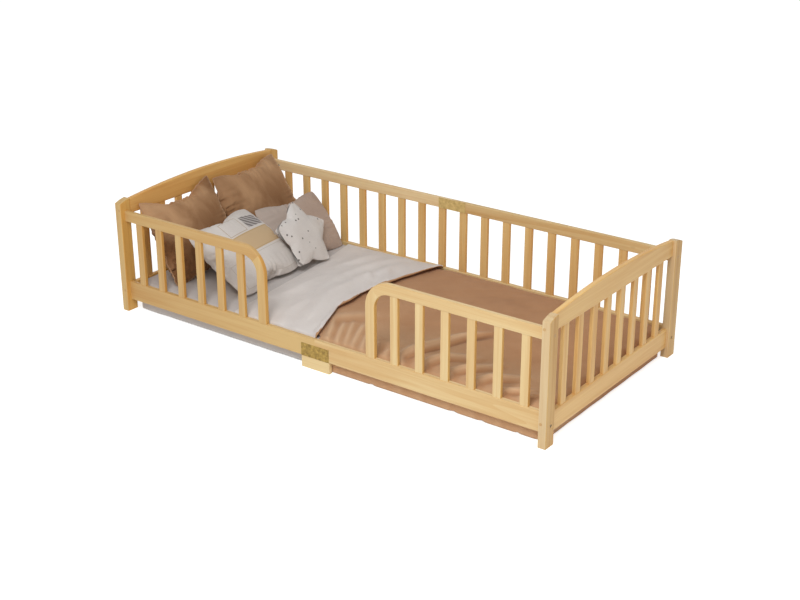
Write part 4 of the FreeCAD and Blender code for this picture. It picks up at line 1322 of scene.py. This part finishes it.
def star_envelope():
    bm = bmesh.new()
    middle = bm.verts.new((0, 0, 0))
    rim = [bm.verts.new((*star_corner(k), 0)) for k in range(10)]
    for tip in range(0, 10, 2):
        bm.faces.new((middle, rim[tip - 1], rim[tip], rim[tip + 1]))
    bmesh.ops.subdivide_edges(bm, edges=bm.edges[:], cuts=STAR_CUTS, use_grid_fill=True)
    for vert in bm.verts:
        reach = math.hypot(vert.co.x, vert.co.y)
        if reach > ROUND_FROM:
            shorter = reach - ROUNDED_OFF * (reach - ROUND_FROM)
            vert.co.x *= shorter / reach
            vert.co.y *= shorter / reach
    layer = bm.loops.layers.uv.new("flat")
    front = bm.faces[:]
    for face in front:
        for loop in face.loops:
            loop[layer].uv = loop.vert.co.xy
    copied = bmesh.ops.duplicate(bm, geom=bm.verts[:] + bm.edges[:] + front)
    back = [item for item in copied["geom"] if isinstance(item, bmesh.types.BMFace)]
    bmesh.ops.reverse_faces(bm, faces=back)
    for face in back:
        for loop in face.loops:
            loop[layer].uv.x += BACK_ASIDE
    for faces, side in ((front, 1), (back, -1)):
        for vert in {v for f in faces for v in f.verts}:
            vert.co.z = side * min(START_SWELL, inside_star(vert.co.x, vert.co.y) * 0.35)
    bmesh.ops.remove_doubles(bm, verts=bm.verts, dist=SEAM_REACH)
    bmesh.ops.recalc_face_normals(bm, faces=bm.faces)
    return bm


def speckled_material():
    made, tree, surface, flat, colour = cloth_parts(
        "speckled cotton", srgb(230, 225, 220), srgb(210, 203, 198), 300.0, 0.10)
    cells = wire(tree, add(tree, "ShaderNodeTexVoronoi", feature="F1"), Scale=1.0, Randomness=0.62,
                 Vector=stretched(tree, flat, (41.0, 36.0, 1.0)))
    speck = spread(tree, cells.outputs["Distance"], 0.185, 0.135)
    speck = math_node(tree, "MULTIPLY", speck, 0.85)
    wire(tree, surface, Base_Color=mix_colour(tree, speck, colour, srgb(64, 52, 46)))
    return made


print("a star of", STAR_CUTS + 1, "rows to each kite")

# %% [markdown]
# ## The star in its place
#
# Once filled, the star is brought to its own width and thickness, turned a little and leaned
# on the patched cushion, and it gives way to whatever it would enter.

# %% Star piece
def make_star():
    piece = finish_piece("star_cushion_soft", star_envelope(), [speckled_material()])
    blow_up(piece, STAR_BENDING, STAR_FILLED)
    lows, highs = extent(piece)
    wider, thicker = STAR_TIP / highs[1], STAR_THICK / (highs[2] - lows[2])
    for vert in piece.data.vertices:
        vert.co.x *= wider
        vert.co.y *= wider
        vert.co.z *= thicker
    stand(piece, 33, 6.8, -10.6)
    made = soft_place(piece, "cushion_star")
    soften(piece)
    give_way(piece, [patched, taupe, duvet], 0.0015)
    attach(piece, "root")
    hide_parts("cushion_star")
    print("star trimmed by", made)


make_star()

# %% [markdown]
# ## Floor and light
#
# The bed stands on a plain pale floor that keeps its shadow. For the camera, and in gloss and
# glass, the floor and the sky are white; the light that reaches the bed is a soft even sky, a
# large lamp in front and a weaker one from the foot end, at a level where a colour comes out
# about as it is written.

# %% Stage
FLOOR_BOUNCE, FLOOR_SEEN = 0.16, 0.70
FLOOR_COLOUR = (0.86, 0.86, 0.86, 1)
FLOOR_DROP = -0.0005
SKY = 0.38


def strength_by_ray(tree, lit, seen):
    """One strength for the light that reaches the bed, another for what is seen or mirrored."""
    ray = add(tree, "ShaderNodeLightPath").outputs
    direct = math_node(tree, "MAXIMUM", ray["Is Camera Ray"], ray["Is Transmission Ray"])
    direct = math_node(tree, "MAXIMUM", direct, ray["Is Glossy Ray"])
    return math_node(tree, "MULTIPLY_ADD", direct, seen - lit, lit)


def make_floor():
    bm = bmesh.new()
    bmesh.ops.create_grid(bm, x_segments=1, y_segments=1, size=30.0)
    bmesh.ops.translate(bm, vec=(0, 0, FLOOR_DROP), verts=bm.verts)
    made = bpy.data.materials.new("pale floor")
    made.use_nodes = True
    tree = made.node_tree
    tree.nodes.clear()
    matt = wire(tree, add(tree, "ShaderNodeBsdfDiffuse"), Color=FLOOR_COLOUR)
    glow = wire(tree, add(tree, "ShaderNodeEmission"),
                Strength=strength_by_ray(tree, FLOOR_BOUNCE, FLOOR_SEEN))
    both = add(tree, "ShaderNodeAddShader")
    feed(tree, both.inputs[0], matt.outputs[0])
    feed(tree, both.inputs[1], glow.outputs[0])
    wire(tree, add(tree, "ShaderNodeOutputMaterial"), Surface=both.outputs[0])
    return finish_piece("floor", bm, [made], smooth=False)


floor = make_floor()

world = bpy.data.worlds.new("studio")
scene.world = world
world.use_nodes = True
sky_tree = world.node_tree
wire(sky_tree, sky_tree.nodes["Background"], Color=WHITE, Strength=strength_by_ray(sky_tree, SKY, 1.0))


def lamp(name, place, target, size, power):
    light = set_all(bpy.data.lights.new(name, "AREA"), shape="DISK", size=size, energy=power)
    made = bpy.data.objects.new(name, light)
    scene.collection.objects.link(made)
    made.location = place
    made.rotation_euler = (Vector(target) - Vector(place)).to_track_quat("-Z", "Y").to_euler()


lamp("key lamp", (1.4, -3.0, 3.6), (0.1, 0.0, 0.1), 2.0, 119.0)
lamp("foot lamp", (4.0, 0.6, 2.4), (0.0, 0.0, 0.1), 2.4, 5.0)
print("light set")
